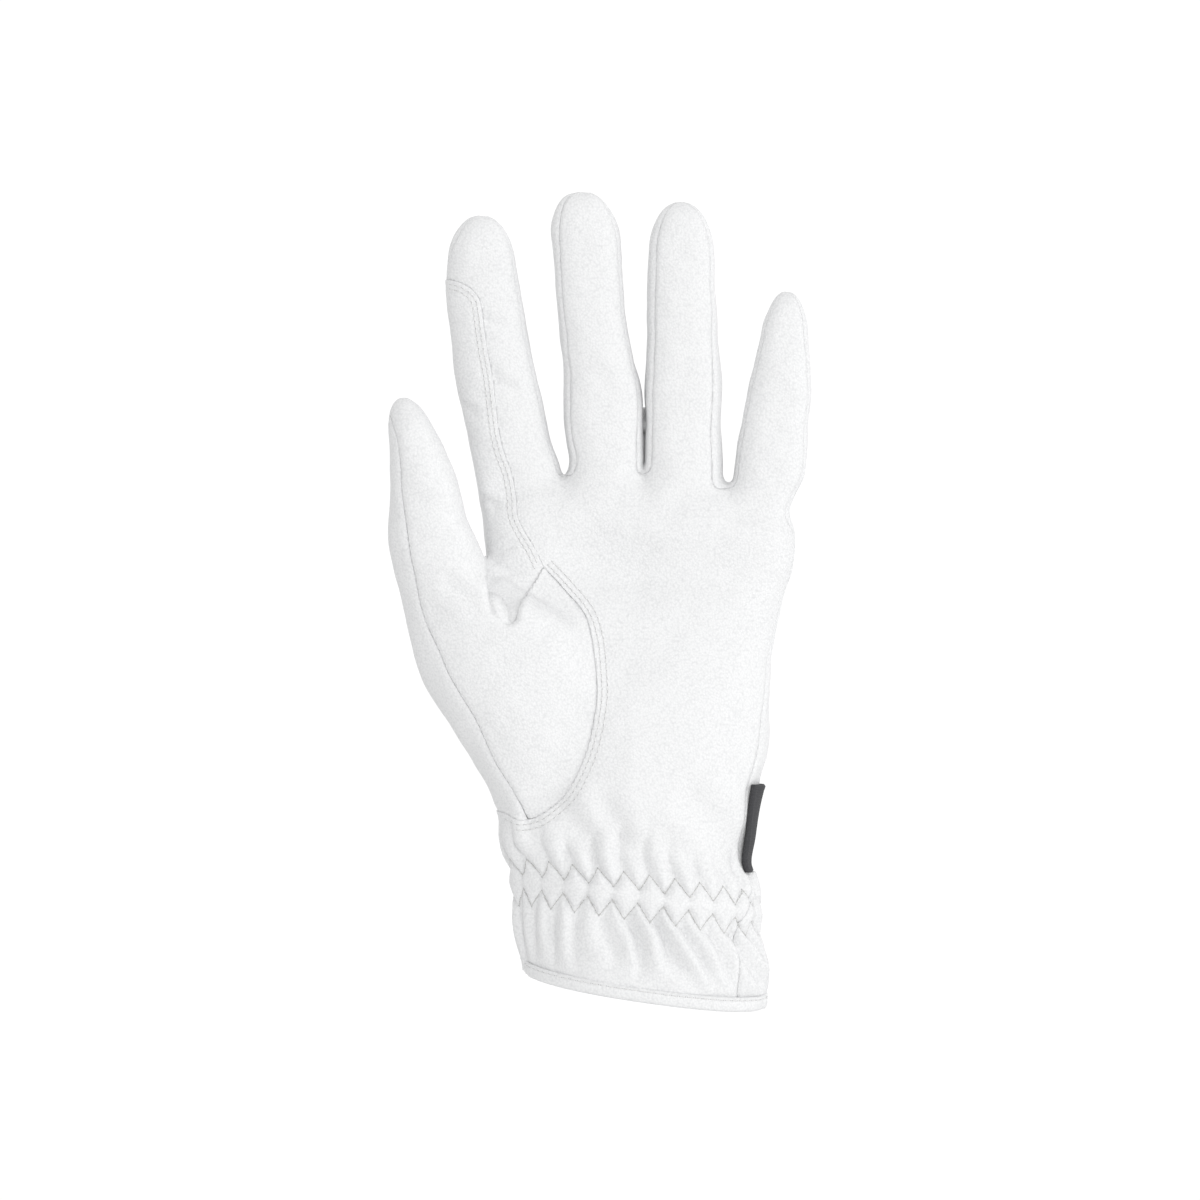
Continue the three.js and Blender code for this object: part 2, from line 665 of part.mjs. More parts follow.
const half = SEAM_GAP / 2;
const thumbOnPalm = (grow) => prism(thumbArea(grow), -FAR, half);
const thumbOnBack = (grow) => prism(thumbBackArea(grow), -half, FAR);
const patchPrism = (grow) => prism(patchArea(grow), -FAR, FAR);

const palmLeather = shell.intersect(palmSide(half));
const backLeather = shell.intersect(backSide(half));
const thumbLeather = shell.intersect(thumbOnPalm(-half).add(thumbOnBack(-half)));

const solids = {
  palm_panel: palmLeather.subtract(thumbOnPalm(half)).subtract(patchPrism(half)),
  index_patch: palmLeather.intersect(patchPrism(-half)).subtract(thumbOnPalm(half)),
  back_panel: backLeather.subtract(thumbOnBack(half)).subtract(thumbOnPalm(half)),
  thumb_front: thumbLeather.intersect(thumbFrontBlock(-half)),
  thumb_back: thumbLeather.subtract(thumbFrontBlock(half)),
  fourchette_index_middle: shell.intersect(sideStrip(0)),
  fourchette_middle_ring: shell.intersect(sideStrip(1)),
  fourchette_ring_little: shell.intersect(sideStrip(2)),
};

// Binding over the raw edge of the cuff.
function bindingRing(grow, up, down) {
  const low = { ...leatherEdge, gather: 0, z: hemRow.z - down };
  const high = { ...low, z: hemRow.z + BINDING_HEIGHT + up };
  return loft([low, high].map((s) => ring(s, PALM_SIDES, grow)));
}
const bindingInner = -WALL - BINDING_WALL;
solids.cuff_binding = bindingRing(BINDING_WALL, 0, 0).subtract(bindingRing(bindingInner, 1, 1));

// Strap round the outer edge of the wrist: angle from its end on the palm side to its end on the back.
// up: share of STRAP_WIDTH. start, end: angles in degrees from the outer edge. swell: share of
// GATHER_SWELL that the strap rides on.
const STRAP_ROWS = [
  { up: 0, start: -17, end: 74, swell: 0.9 },
  { up: 0.33, start: -19, end: 75, swell: 0.7 },
  { up: 0.66, start: -21, end: 76, swell: 0.3 },
  { up: 0.89, start: -23, end: 77, swell: 0.1 },
  { up: 1, start: -24, end: 77, swell: 0.1 },
];
const STRAP_STEPS = 12;
const BED_PASSES = 3; // rounds in which a point's height and reach settle on the tilted wrist

const strapBed = [...cuffSections.slice(6), ...palmSections.slice(0, 4)];

// Point on the wrist's outside at a height, at an angle from its outer edge, moved out by a distance.
function wristPoint(z, turn, grow) {
  const c = Math.cos(turn);
  const s = Math.sin(turn);
  let x = strapBed[0].right * c;
  let y = 0;
  for (let pass = 0; pass < BED_PASSES; pass += 1) {
    const tilt = along(strapBed.map((b) => ({ z: b.z, tilt: b.tilt ?? 0 })), "z", "tilt", z);
    const [left, right, depth] = ["left", "right", "depth"].map((k) => along(strapBed, "z", k, z - tilt * x));
    x = (left + right) / 2 + ((right - left) / 2 + grow) * Math.abs(c) ** (2 / ROUNDNESS);
    y = (depth + grow) * Math.sign(s) * Math.abs(s) ** (2 / ROUNDNESS);
  }
  return new THREE.Vector3(x, y, z);
}

// Section of the strap, at a share of its length from the palm-side end.
function strapSection(share) {
  const face = (grow) =>
    STRAP_ROWS.map((row) => {
      const turn = THREE.MathUtils.degToRad(row.start + (row.end - row.start) * share);
      return wristPoint(STRAP_BOTTOM + row.up * STRAP_WIDTH, turn, row.swell * GATHER_SWELL + grow);
    });
  return [...face(STRAP_CLEARANCE), ...face(STRAP_CLEARANCE + STRAP_THICKNESS).reverse()];
}

const strapShares = Array.from({ length: STRAP_STEPS + 1 }, (_, i) => i / STRAP_STEPS);
solids.closure_strap = loft(strapShares.map(strapSection));

const LEATHER = { color: 0xf4f4f2, roughness: 0.55, metalness: 0 };
const FINISHES = {
  cuff_binding: { color: 0xf2f2f0, roughness: 0.5, metalness: 0 },
  closure_strap: { color: 0x17181a, roughness: 0.85, metalness: 0 },
};

// The biggest body of a cut solid, without the crumbs that a seam may leave at a fork.
function mainBody(solid) {
  const bodies = solid.decompose();
  return bodies.reduce((best, one) => (one.volume() > best.volume() ? one : best));
}

const glove = new THREE.Group();
for (const [name, solid] of Object.entries(solids)) {
  const mesh = mainBody(solid).getMesh();
  const geometry = new THREE.BufferGeometry();
  geometry.setAttribute("position", new THREE.BufferAttribute(mesh.vertProperties, 3));
  geometry.setIndex(new THREE.BufferAttribute(mesh.triVerts, 1));
  const piece = new THREE.Mesh(geometry, new THREE.MeshStandardMaterial(FINISHES[name] ?? LEATHER));
  piece.name = name;
  glove.add(piece);
}

export default glove;
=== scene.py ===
import math
import bpy
import numpy as np
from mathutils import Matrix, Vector
from mathutils.bvhtree import BVHTree


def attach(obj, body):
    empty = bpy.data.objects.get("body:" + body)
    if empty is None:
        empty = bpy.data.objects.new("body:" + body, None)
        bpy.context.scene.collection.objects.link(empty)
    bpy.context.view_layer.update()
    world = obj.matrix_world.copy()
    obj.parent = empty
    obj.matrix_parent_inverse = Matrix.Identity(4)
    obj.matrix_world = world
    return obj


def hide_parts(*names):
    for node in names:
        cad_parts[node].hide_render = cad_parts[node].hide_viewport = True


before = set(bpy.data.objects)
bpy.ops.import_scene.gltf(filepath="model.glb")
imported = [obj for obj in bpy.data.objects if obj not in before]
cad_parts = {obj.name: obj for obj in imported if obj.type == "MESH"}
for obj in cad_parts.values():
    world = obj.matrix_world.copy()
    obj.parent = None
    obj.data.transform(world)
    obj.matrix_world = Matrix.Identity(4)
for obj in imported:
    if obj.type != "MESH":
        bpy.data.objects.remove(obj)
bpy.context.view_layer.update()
print("glove: frame loaded")

# Lengths are in millimetres until a mesh is made; mm turns them into Blender's metres.
mm = 0.001

leather = dict(wall=1.15, cell=0.8, roundness=2.25, fingerMore=0.5, liningSmooth=0.6)

# The thumb side of the hand is squarer round the foot of the forefinger.
squareSide = dict(height=104, reach=20, more=4.0, bodies=("hand", "index"))

# Hand sections from the hem to the knuckles. depth is half the thickness, dent presses the palm in.
hand = dict(
    columns=("z", "left", "right", "depth", "dent"),
    rows=(
        (-44, -31.0, 37.2, 21.2, 0),
        (-30, -31.5, 37.2, 21.2, 0),
        (-25, -32.3, 37.7, 21.4, 0),
        (-19, -33.3, 37.7, 21.3, 0),
        (-13, -33.8, 36.8, 20.4, 0),
        (-7.2, -33.8, 35.2, 19.0, 0),
        (-3.4, -34.2, 35.2, 19.3, 0),
        (0.35, -34.4, 34.6, 19.0, 0),
        (5, -36.7, 33.8, 19.1, 0),
        (10, -38.5, 31.8, 19.1, 0),
        (18, -38.6, 33.0, 19.0, -1.2),
        (27, -39.2, 35.2, 18.6, -2.4),
        (38, -40.5, 37.9, 17.5, -2.9),
        (52, -41.5, 38.6, 16.6, -2.0),
        (66, -42.0, 39.6, 16.0, 0.2),
        (80, -42.3, 42.0, 15.6, 2.2),
        (92, -42.4, 44.4, 15.2, 2.0),
        (100, -42.6, 45.2, 14.6, 0.8),
        (108, -43.2, 44.4, 13.6, 0.3),
        (118, -44.0, 43.0, 12.0, 0),
    ),
    capStart=99, capEnd=118.5, capPower=2.6,
)
cuff = dict(tilt=-0.14, tiltEnd=(8, 26), hem=-30, bow=3.0, waistBow=1.2)

# Fingers. Each row: height, left and right edge, half depth.
fingers = dict(
    index=dict(
        rows=((90, -40, -19, 9.0), (104, -43.2, -19.5, 10.2), (112, -45.4, -20.4, 10.0),
              (118, -46.6, -21.4, 9.4), (128.8, -48.4, -24.4, 8.7), (137, -49.7, -26.7, 8.3),
              (146.5, -52.2, -29.0, 8.5), (157, -53.4, -31.0, 8.3), (165, -54.4, -32.2, 8.1),
              (174.3, -55.0, -33.6, 7.9), (182.4, -53.9, -35.1, 7.6), (190, -52.6, -36.6, 7.2),
              (197, -51.5, -38.2, 7)),
        top=193.6, capStart=181, capPower=2.5, left=((118, 0.0), (176, 0.0), (183, 0.35), (187, 0.55),
                                                     (194, 0.6)),
        right=((108, 0.45), (130, 0.35), (194, 0.4)), outer="left"),
    middle=dict(
        rows=((90, -24, 6, 9.0), (104, -23, 4, 10.4), (112, -21.4, 2.4, 10.2), (118, -20.2, 1.9, 9.6),
              (123.3, -19.2, 2.0, 9.2), (128.8, -20.3, 2.0, 9.0), (135, -21, 2.1, 8.8),
              (141.8, -20.6, 1.5, 8.6),
              (151.7, -21.3, -0.6, 8.5), (160, -22, -2.3, 8.4), (171, -23.1, -3.5, 8.2),
              (186.8, -24.5, -4.9, 7.7),
              (195, -24.9, -6.0, 7.2), (204, -25, -7.4, 7)),
        top=200.7, capStart=187, capPower=2.4, left=((112, 0.5), (122, 0.6), (150, 0.56), (170, 0.58),
                                                     (200, 0.72)),
        right=((112, 0.62), (130, 0.58), (145, 0.4), (200, 0.4)), outer=None),
    ring=dict(
        rows=((90, -1, 29, 9.0), (104, 0.4, 27.5, 10.2), (112, 1.6, 26.6, 10.0), (118, 2.2, 25.8, 9.4),
              (122.4, 2.6, 25.6, 9.1), (132, 2.7, 24.8, 8.8), (140.7, 2.8, 24.8, 8.6), (149, 2.8, 24.7, 8.4),
              (160, 3.0, 23.8, 8.3), (171, 3.2, 23.4, 8.1), (182.4, 3.8, 22.5, 7.7), (191, 4.2, 21.4, 7.3),
              (200, 4.6, 20.6, 7)),
        top=197.4, capStart=184, capPower=2.3, left=((112, 0.45), (122, 0.58), (150, 0.64), (197, 0.7)),
        right=((108, 0.78), (125, 0.76), (145, 0.7), (165, 0.55), (197, 0.55)), outer=None),
    little=dict(
        rows=((88, 23, 43.6, 8.5), (101, 24.4, 44.4, 9.4), (109, 25.6, 44.3, 9.3), (113, 26.6, 46.0, 9.0),
              (117.5, 27.7, 48.4, 8.6), (121, 28.2, 49.3, 8.3), (129.6, 29.6, 50.0, 7.8),
              (141.8, 32.1, 50.5, 7.5),
              (153.4, 34.8, 50.6, 7.1), (162.8, 36.8, 49.8, 6.6), (169, 38.0, 48.9, 6.2), (176, 39.2, 48, 6)),
        top=172.2, capStart=161.5, capPower=2.25, left=((106, 0.45), (125, 0.4), (172, 0.45)),
        right=((112, 0.4), (122, 0.42), (140, 0.42), (158, 0.6), (172, 0.66)), outer="right"),
)
flex = dict(start=95, reach=105.5, lean=12)

# Thumb sections: height, left and right edge, how far its middle stands forward, half depth.
thumb = dict(
    rows=((10, -37, -29, 0, 12), (20.6, -38.2, -29.5, 0.3, 14), (27, -41.8, -22, 1.5, 16),
          (36, -47.4, -15.6, 3, 16.7),
          (44, -52.6, -12, 4.6, 17), (50.5, -56.6, -10.6, 5.6, 17), (58, -61.2, -10, 6.8, 16.7),
          (66, -64.2, -11, 8.2, 16.2),
          (74, -66.2, -15, 9.8, 15.2), (81, -67.4, -24, 11.8, 13.9), (86, -68.5, -33, 13.4, 13.0),
          (90, -69.4, -39.4, 14.8, 12.4),
          (94.5, -70.3, -43.2, 16.4, 12.0), (99.8, -71.4, -45.9, 18, 11.6), (105.6, -71.4, -48.7, 19.5, 11.2),
          (112, -71.0, -50.3, 21, 10.8), (118.6, -71.0, -52.2, 22.2, 10.3), (124.7, -71.0, -54.5, 23.1, 9.7),
          (131, -71.2, -57.2, 23.8, 9.0), (137, -71.8, -60.0, 24, 8.3), (144, -72.5, -63, 24, 8)),
    top=141.0, capStart=130, capPower=2.3,
)

# Seam lines on the palm side, as seen from the front: across and up.
seams = dict(
    thumbRound=((-26.8, 92.2), (-20, 85), (-14.5, 78), (-12.5, 71.6), (-11.6, 63.5), (-11.2, 55.4),
                (-12.2, 47.9),
                (-14.2, 39.2), (-16.4, 33.6), (-19.7, 27.6), (-24.1, 23.2), (-29.1, 19.9), (-34.2, 19.2),
                (-38.5, 21.2), (-43, 22)),
    web=((-62, 150), (-58, 141), (-51, 123.3), (-47.2, 106), (-44.3, 98), (-43.0, 93), (-43.0, 86.4),
         (-41.6, 84.6),
         (-39.4, 84.0), (-38.0, 82.2), (-37.2, 79.4), (-36.4, 76.4), (-35.3, 75.4), (-34.4, 76.4),
         (-33.2, 80.6),
         (-31.3, 84.7), (-28.9, 88.4), (-26.8, 92.2)),
    valley=((-43.0, 93), (-43.0, 84), (-41.9, 79.5), (-39.4, 76.6), (-36.6, 75.2), (-34.6, 76.0),
            (-33.2, 80.6),
            (-31.3, 84.7), (-28.9, 88.4), (-26.8, 92.2)),
    patch=((-60, 175.6), (-55.1, 175.3), (-52.2, 174.6), (-49.2, 173.4), (-46.8, 171.6), (-45.1, 169),
           (-44.4, 165.3),
           (-43.7, 160), (-42.9, 154.6), (-41.4, 146.5), (-40.4, 137.5), (-39.7, 132), (-38.4, 126),
           (-35.9, 119),
           (-34.7, 112), (-34.4, 107.2), (-31.9, 101.8), (-29.2, 97.4), (-26.8, 92.2)),
    thumbSide=((-74, 141), (-71.2, 136), (-69.9, 132), (-68.9, 129.4), (-68.2, 124.7), (-67.8, 119),
               (-67.6, 112.8), (-66.7, 107.9),
               (-65.3, 98.3), (-63.8, 89.6), (-60.3, 75.1), (-57.4, 69), (-54.8, 62.6), (-51.3, 56.3),
               (-46.4, 47.6), (-41.2, 36.3),
               (-31.9, 20.9), (-29, 15)),
    thumbBack=((-55, 98), (-45, 93), (-42.2, 90.5), (-39.8, 80), (-38.4, 65), (-37.3, 50), (-36.6, 36),
               (-37.4, 26), (-43, 19)),
)
sideSeam = ((-40, 0.68), (-29, 0.68), (-19, 0.70), (-8.7, 0.65), (3.8, 0.36), (29, 0.46), (60, 0.28),
            (85, 0.08), (100, 0.0),
            (106, 0.12), (114, 0.4), (120, 0.42))

gathers = dict(count=24, halfWidth=34.4, halfDepth=19, upper=0.35, lower=-8.3, middle=-4, upperRise=2.4,
               lowerRise=2.65,
               swell=1.75, pinch=0.35, fadeTop=(6, 22), lean=0.62, leanFrom=(-20, 8), ribSwell=2.6,
               foldSwell=2.6,
               steep=1.5)

# Between thumb and forefinger: how far forward the floor lies at each height, and the fold of leather in it.
webFloor = dict(rows=((70, -25), (75.4, -23.6), (80, -21.8), (85, -18.4), (92, -13), (100, -7), (125, 8)),
                slope=0.82, rounding=1.8,
                lobe=dict(place=(-40.0, -20.5, 79.9), size=(2.2, 5.0, 4.7), turn=0.42))
# Behind the gap between the middle and the ring finger the side strip stands higher.
forkWeb = dict(place=(2.4, 3.0, 122), size=(2.4, 2.6, 17))
# Soft hollows of the palm: across, up, reach across, reach up, depth.
hollows = ((-11, 95, 19, 11, 4.2), (19, 90, 19, 12, 2.4))

# Creases on the palm side: from, to, depth, width.
creases = (
    (-51.2, 139.8, -46.2, 136.4, 0.7, 1.5),
    (-43.9, 163.3, -37.5, 161.6, 0.45, 1.6),
    (-41.0, 145.9, -34.0, 143.0, 0.4, 1.8),
    (-45.6, 112.4, -40.4, 109.8, 0.45, 1.3),
    (-40.5, 96.5, -34.5, 99.0, 0.35, 1.3),
    (-41.5, 89.8, -35.0, 90.8, 0.4, 1.2),
    (-22.5, 148.5, -8.0, 146.5, 0.35, 3.0),
    (-18.0, 139.5, -2.0, 141.5, 0.3, 3.0),
    (4.5, 148.0, 19.0, 146.0, 0.3, 3.2),
    (5.5, 137.0, 20.5, 138.5, 0.25, 3.0),
    (33.5, 139.0, 46.0, 140.5, 0.3, 2.6),
    (31.5, 129.5, 45.5, 130.0, 0.25, 2.4),
    (-66.0, 113.0, -56.0, 109.0, 0.3, 3.0),
    (-64.0, 101.0, -52.0, 97.0, 0.35, 3.0),
    (-55.0, 88.0, -46.0, 82.0, 0.4, 2.6),
    (-20.0, 112.5, 18.0, 110.0, 0.3, 4.0),
    (28.0, 108.5, 42.0, 107.0, 0.35, 3.0),
    (-40.5, 66.0, -25.0, 74.0, 0.35, 3.0),
    (-23.0, 25.0, -11.0, 10.5, 1.3, 4.0),
    (-10.0, 25.0, -1.0, 8.0, 1.1, 3.6),
    (14.0, 27.0, 29.0, 11.0, 1.2, 4.2),
)


def softStep(low, high, value):
    share = np.clip((value - low) / (high - low), 0, 1)
    return share * share * (3 - 2 * share)


def bell(distance, width):
    return np.exp(-((distance / width) ** 2))


def smoothCurve(places, values, at):
    # a smooth curve through a few values, with the slopes of their neighbours
    places = np.asarray(places, float)
    values = np.asarray(values, float)
    slopes = np.gradient(values, places)
    low = np.clip(np.searchsorted(places, at) - 1, 0, len(places) - 2)
    gap = places[low + 1] - places[low]
    t = np.clip((at - places[low]) / gap, 0, 1)
    start = values[low] * (1 + 2 * t) * (1 - t) ** 2 + values[low + 1] * t * t * (3 - 2 * t)
    return start + gap * (slopes[low] * t * (1 - t) ** 2 - slopes[low + 1] * t * t * (1 - t))


def softMin(one, other, width):
    share = np.clip(0.5 + 0.5 * (other - one) / width, 0, 1)
    return other + (one - other) * share - width * share * (1 - share)


class Tube:
    # a rounded body with its own edges and depth at each height, and a domed top

    def __init__(self, name, rows, columns, top, capStart, capPower, seams=None):
        self.name = name
        self.top = top
        self.capStart = capStart
        self.capPower = capPower
        self.seams = seams
        heights = [row[0] for row in rows]
        self.low = heights[0]
        self.grid = np.arange(heights[0] - 1, heights[-1] + 1, 0.25)
        self.curves = {}
        for place, column in enumerate(columns):
            if place:
                self.curves[column] = smoothCurve(heights, [row[place] for row in rows], self.grid)

    def at(self, column, z):
        return np.interp(z, self.grid, self.curves[column]) if column in self.curves else 0.0

    def frame(self, x, y, z):
        # place across and through the section, as shares of its half width and half depth
        left, right = self.at("left", z), self.at("right", z)
        depth = self.at("depth", z)
        halfWidth = (right - left) / 2
        across = (x - (left + right) / 2) / halfWidth
        through = y - self.middle(z)
        dent = self.at("dent", z) * np.clip(1 - 1.1 * np.abs(across), 0, 1)
        depth = np.where(through < 0, depth - dent, depth)
        return across, through / depth, halfWidth, depth

    def power(self, across, rise):
        # how square the section is
        n = leather["roundness"] + (leather["fingerMore"] if self.seams else 0)
        if self.name in squareSide["bodies"]:
            square = squareSide["more"] * bell(rise - squareSide["height"], squareSide["reach"])
            n = n + np.where(across < 0, square, 0)
        return n

    def middle(self, z):
        return -self.at("forward", z) if "forward" in self.curves else flexLine(z)

    def distance(self, x, y, z):
        z, rise = self.heights(x, y, z)
        across, through, halfWidth, depth = self.frame(x, y, z)
        n = self.power(across, rise)
        ratio = (np.abs(across) ** n + np.abs(through) ** n) ** (1 / n)
        above = np.clip((rise - self.capStart) / (self.top - self.capStart), 0, None)
        below = np.clip((self.low + 4 - rise) / 6, 0, None) if self.name != "hand" else 0.0
        m = self.capPower
        whole = np.maximum((ratio ** m + above ** m + below ** m) ** (1 / m), 0.05)
        over = np.clip(rise - self.capStart, 0, None)
        reach = np.sqrt((across * halfWidth) ** 2 + (through * depth) ** 2 + over ** 2)
        return np.where(whole < 0.06, -depth, reach - reach / whole)

    def heights(self, x, y, z):
        return z, z


class Hand(Tube):
    def heights(self, x, y, z):
        return cuffLevel(x, z), z


def flexLine(z):
    rise = np.clip(z - flex["start"], 0, None) / flex["reach"]
    return -flex["lean"] * rise * rise


def cuffLevel(x, z):
    # height measured square to the tilted cuff
    low, high = cuff["tiltEnd"]
    return z - cuff["tilt"] * (1 - softStep(low, high, z)) * x


fingerColumns = ("z", "left", "right", "depth")
thumbColumns = ("z", "left", "right", "forward", "depth")


def lengthsAlong(points):
    steps = np.linalg.norm(np.diff(points, axis=0), axis=1)
    return np.concatenate([[0], np.cumsum(steps)])


def spotsAlong(points, lengths, at):
    return np.stack([np.interp(at, lengths, column) for column in points.T], 1)


def smoothLine(points, step=0.8):
    points = np.asarray(points, float)
    lengths = lengthsAlong(points)
    places = np.linspace(0, lengths[-1], max(int(lengths[-1] / step), 2) + 1)
    return np.stack([smoothCurve(lengths, points[:, i], places) for i in range(2)], 1)


def lineDistance(x, z, line):
    best = np.full(len(x), 1e9)
    for (ax, az), (bx, bz) in zip(line[:-1], line[1:]):
        dx, dz = bx - ax, bz - az
        t = np.clip(((x - ax) * dx + (z - az) * dz) / (dx * dx + dz * dz), 0, 1)
        best = np.minimum(best, (x - ax - t * dx) ** 2 + (z - az - t * dz) ** 2)
    return np.sqrt(best)


def areaDistance(x, z, outline):
    # above zero inside the outline
    closed = np.vstack([outline, outline[:1]])
    inside = np.zeros(len(x), bool)
    for (ax, az), (bx, bz) in zip(closed[:-1], closed[1:]):
        if az != bz:
            inside ^= ((az > z) != (bz > z)) & (x < (bx - ax) * (z - az) / (bz - az) + ax)
    away = lineDistance(x, z, closed)
    return np.where(inside, away, -away)


lines = {name: smoothLine(points) for name, points in seams.items()}
outlines = dict(
    thumbFront=np.vstack([lines["web"], lines["thumbRound"][1:], [(-95, 22), (-95, 150)]]),
    thumbBack=np.vstack([lines["thumbBack"], [(-95, 19), (-95, 98)]]),
    patch=np.vstack([lines["patch"], lines["web"][::-1][1:]]),
    thumbFace=np.vstack([lines["thumbSide"], [(60, 15), (60, 141)]]),
    valley=np.vstack([lines["valley"], [(-26.8, 130), (-43.0, 130)]]),
)


class Chart:
    # distances inside an outline, kept on a flat grid so that they can be read quickly
    step = 0.5

    def __init__(self, outline, low, high):
        self.low = np.array(low, float)
        sizes = [int((high[i] - low[i]) / self.step) + 1 for i in range(2)]
        across, up = np.meshgrid(*(low[i] + self.step * np.arange(sizes[i]) for i in range(2)), indexing="ij")
        self.values = areaDistance(across.ravel(), up.ravel(), outline).reshape(sizes)

    def __call__(self, x, z):
        places = []
        for i, value in enumerate((x, z)):
            spot = np.clip((value - self.low[i]) / self.step, 0, self.values.shape[i] - 1.001)
            whole = spot.astype(int)
            places += [whole, spot - whole]
        i, u, k, v = places
        near = self.values[i, k] * (1 - v) + self.values[i, k + 1] * v
        far = self.values[i + 1, k] * (1 - v) + self.values[i + 1, k + 1] * v
        return near * (1 - u) + far * u


valleyChart = Chart(outlines["valley"], (-60, 62), (-8, 140))


def ellipsoid(x, y, z, place, size, turn=0.0):
    across, up = x - place[0], z - place[2]
    c, s = math.cos(turn), math.sin(turn)
    a, b, d = (across * c + up * s) / size[0], (y - place[1]) / size[1], (up * c - across * s) / size[2]
    whole = np.sqrt(a * a + b * b + d * d) + 1e-6
    return (whole - 1) * np.sqrt((a * size[0]) ** 2 + (b * size[1]) ** 2 + (d * size[2]) ** 2) / whole


def thumbField(x, y, z):
    # the thumb with the hollow between it and the forefinger
    own = thumbTube.distance(x, y, z)
    floor = np.interp(z, *zip(*webFloor["rows"]))
    carved = np.minimum(valleyChart(x, z), (floor - y) * webFloor["slope"])
    hollowed = -softMin(-own, -carved, webFloor["rounding"])
    return softMin(hollowed, ellipsoid(x, y, z, **webFloor["lobe"]), blends["lobe"])


handTube = Hand("hand", hand["rows"], hand["columns"], hand["capEnd"], hand["capStart"], hand["capPower"])
fingerTubes = [
    Tube(name, made["rows"], fingerColumns, made["top"], made["capStart"], made["capPower"], made)
    for name, made in fingers.items()
]
thumbTube = Tube("thumb", thumb["rows"], thumbColumns, thumb["top"], thumb["capStart"], thumb["capPower"])
tubes = [handTube, *fingerTubes, thumbTube]
blends = dict(finger=4.5, fork=0.8, forkWeb=1.0, thumb=6.0, lobe=1.6)


def gloveField(x, y, z):
    # below zero inside the filled glove
    lowest, highest = float(np.min(z)), float(np.max(z))
    if lowest < handTube.top + 12:
        total = handTube.distance(x, y, z)
    else:
        total = np.full(np.broadcast(x, y, z).shape, 99.0)
    fingersOnly = None
    for tube in fingerTubes:
        if highest > tube.low - 8 and lowest < tube.top + 12:
            own = tube.distance(x, y, z)
            fingersOnly = own if fingersOnly is None else softMin(fingersOnly, own, blends["fork"])
    if fingersOnly is not None:
        fingersOnly = softMin(fingersOnly, ellipsoid(x, y, z, **forkWeb), blends["forkWeb"])
        total = softMin(total, fingersOnly, blends["finger"])
    if highest > thumbTube.low - 8 and lowest < thumbTube.top + 12:
        total = softMin(total, thumbField(x, y, z), blends["thumb"])
    return total


def fieldSlope(points, reach=0.15):
    slope = np.empty_like(points)
    for axis in range(3):
        shift = np.zeros(3)
        shift[axis] = reach
        ahead, behind = points + shift, points - shift
        slope[:, axis] = (gloveField(*ahead.T) - gloveField(*behind.T)) / (2 * reach)
    return slope


def settle(points, passes=3):
    # moves points onto the glove's surface
    for _ in range(passes):
        value = gloveField(*points.T)
        slope = fieldSlope(points)
        size = np.maximum((slope ** 2).sum(1), 0.05)
        step = -value / size
        points = points + slope * np.clip(step, -0.6, 0.6)[:, None]
    return points


def netSurface(low, high, cell):
    # quads through the cells that the surface crosses
    axes = [np.arange(low[i], high[i] + cell, cell) for i in range(3)]
    nx, ny, nz = (len(a) for a in axes)
    values = np.empty((nx, ny, nz), np.float32)
    slab = 24
    for start in range(0, nz, slab):
        part = axes[2][start:start + slab]
        values[:, :, start:start + slab] = gloveField(axes[0][:, None, None], axes[1][None, :, None],
                                                      part[None, None, :])
    inside = values < 0
    corners = [(i, j, k) for i in (0, 1) for j in (0, 1) for k in (0, 1)]
    view = lambda a, c: a[c[0]:nx - 1 + c[0], c[1]:ny - 1 + c[1], c[2]:nz - 1 + c[2]]
    count = sum(view(inside, c).astype(np.int8) for c in corners)
    cells = np.argwhere((count > 0) & (count < 8))
    sample = {c: values[cells[:, 0] + c[0], cells[:, 1] + c[1],
                        cells[:, 2] + c[2]].astype(float) for c in corners}
    total = np.zeros((len(cells), 3))
    hits = np.zeros(len(cells))
    for a in corners:
        for axis in range(3):
            if a[axis] == 0:
                b = tuple(1 if i == axis else a[i] for i in range(3))
                va, vb = sample[a], sample[b]
                crossed = (va < 0) != (vb < 0)
                t = np.where(crossed, va / np.where(crossed, va - vb, 1), 0)
                spot = np.tile(np.array(a, float), (len(cells), 1))
                spot[:, axis] = t
                total += np.where(crossed[:, None], spot, 0)
                hits += crossed
    points = np.array([a[0] for a in axes]) + (cells + total / hits[:, None]) * cell
    number = np.full((nx - 1, ny - 1, nz - 1), -1, np.int64)
    number[tuple(cells.T)] = np.arange(len(cells))
    quads = []
    for axis in range(3):
        u, v = [(1, 2), (2, 0), (0, 1)][axis]
        first = [slice(1, -1)] * 3
        first[axis] = slice(0, -1)
        second = list(first)
        second[axis] = slice(1, None)
        a, b = inside[tuple(first)], inside[tuple(second)]
        spots = np.argwhere(a != b)
        for i in range(3):
            if i != axis:
                spots[:, i] += 1
        outward = a[a != b]
        ring = []
        for du, dv in ((-1, -1), (0, -1), (0, 0), (-1, 0)):
            place = spots.copy()
            place[:, u] += du
            place[:, v] += dv
            ring.append(number[tuple(place.T)])
        ring = np.stack(ring, 1)
        ring[~outward] = ring[~outward][:, ::-1]
        quads.append(ring)
    return points, np.concatenate(quads)


def relax(points, quads, passes):
    # evens out the net and keeps it on the surface
    edges = np.concatenate([quads[:, [i, (i + 1) % 4]] for i in range(4)])
    for _ in range(passes):
        total = np.zeros_like(points)
        for axis in range(3):
            total[:, axis] = np.bincount(edges[:, 0], points[edges[:, 1], axis], len(points))
        degree = np.maximum(np.bincount(edges[:, 0], minlength=len(points)), 1)
        middle = total / degree[:, None]
        points = settle(0.4 * points + 0.6 * middle, 1)
    return points


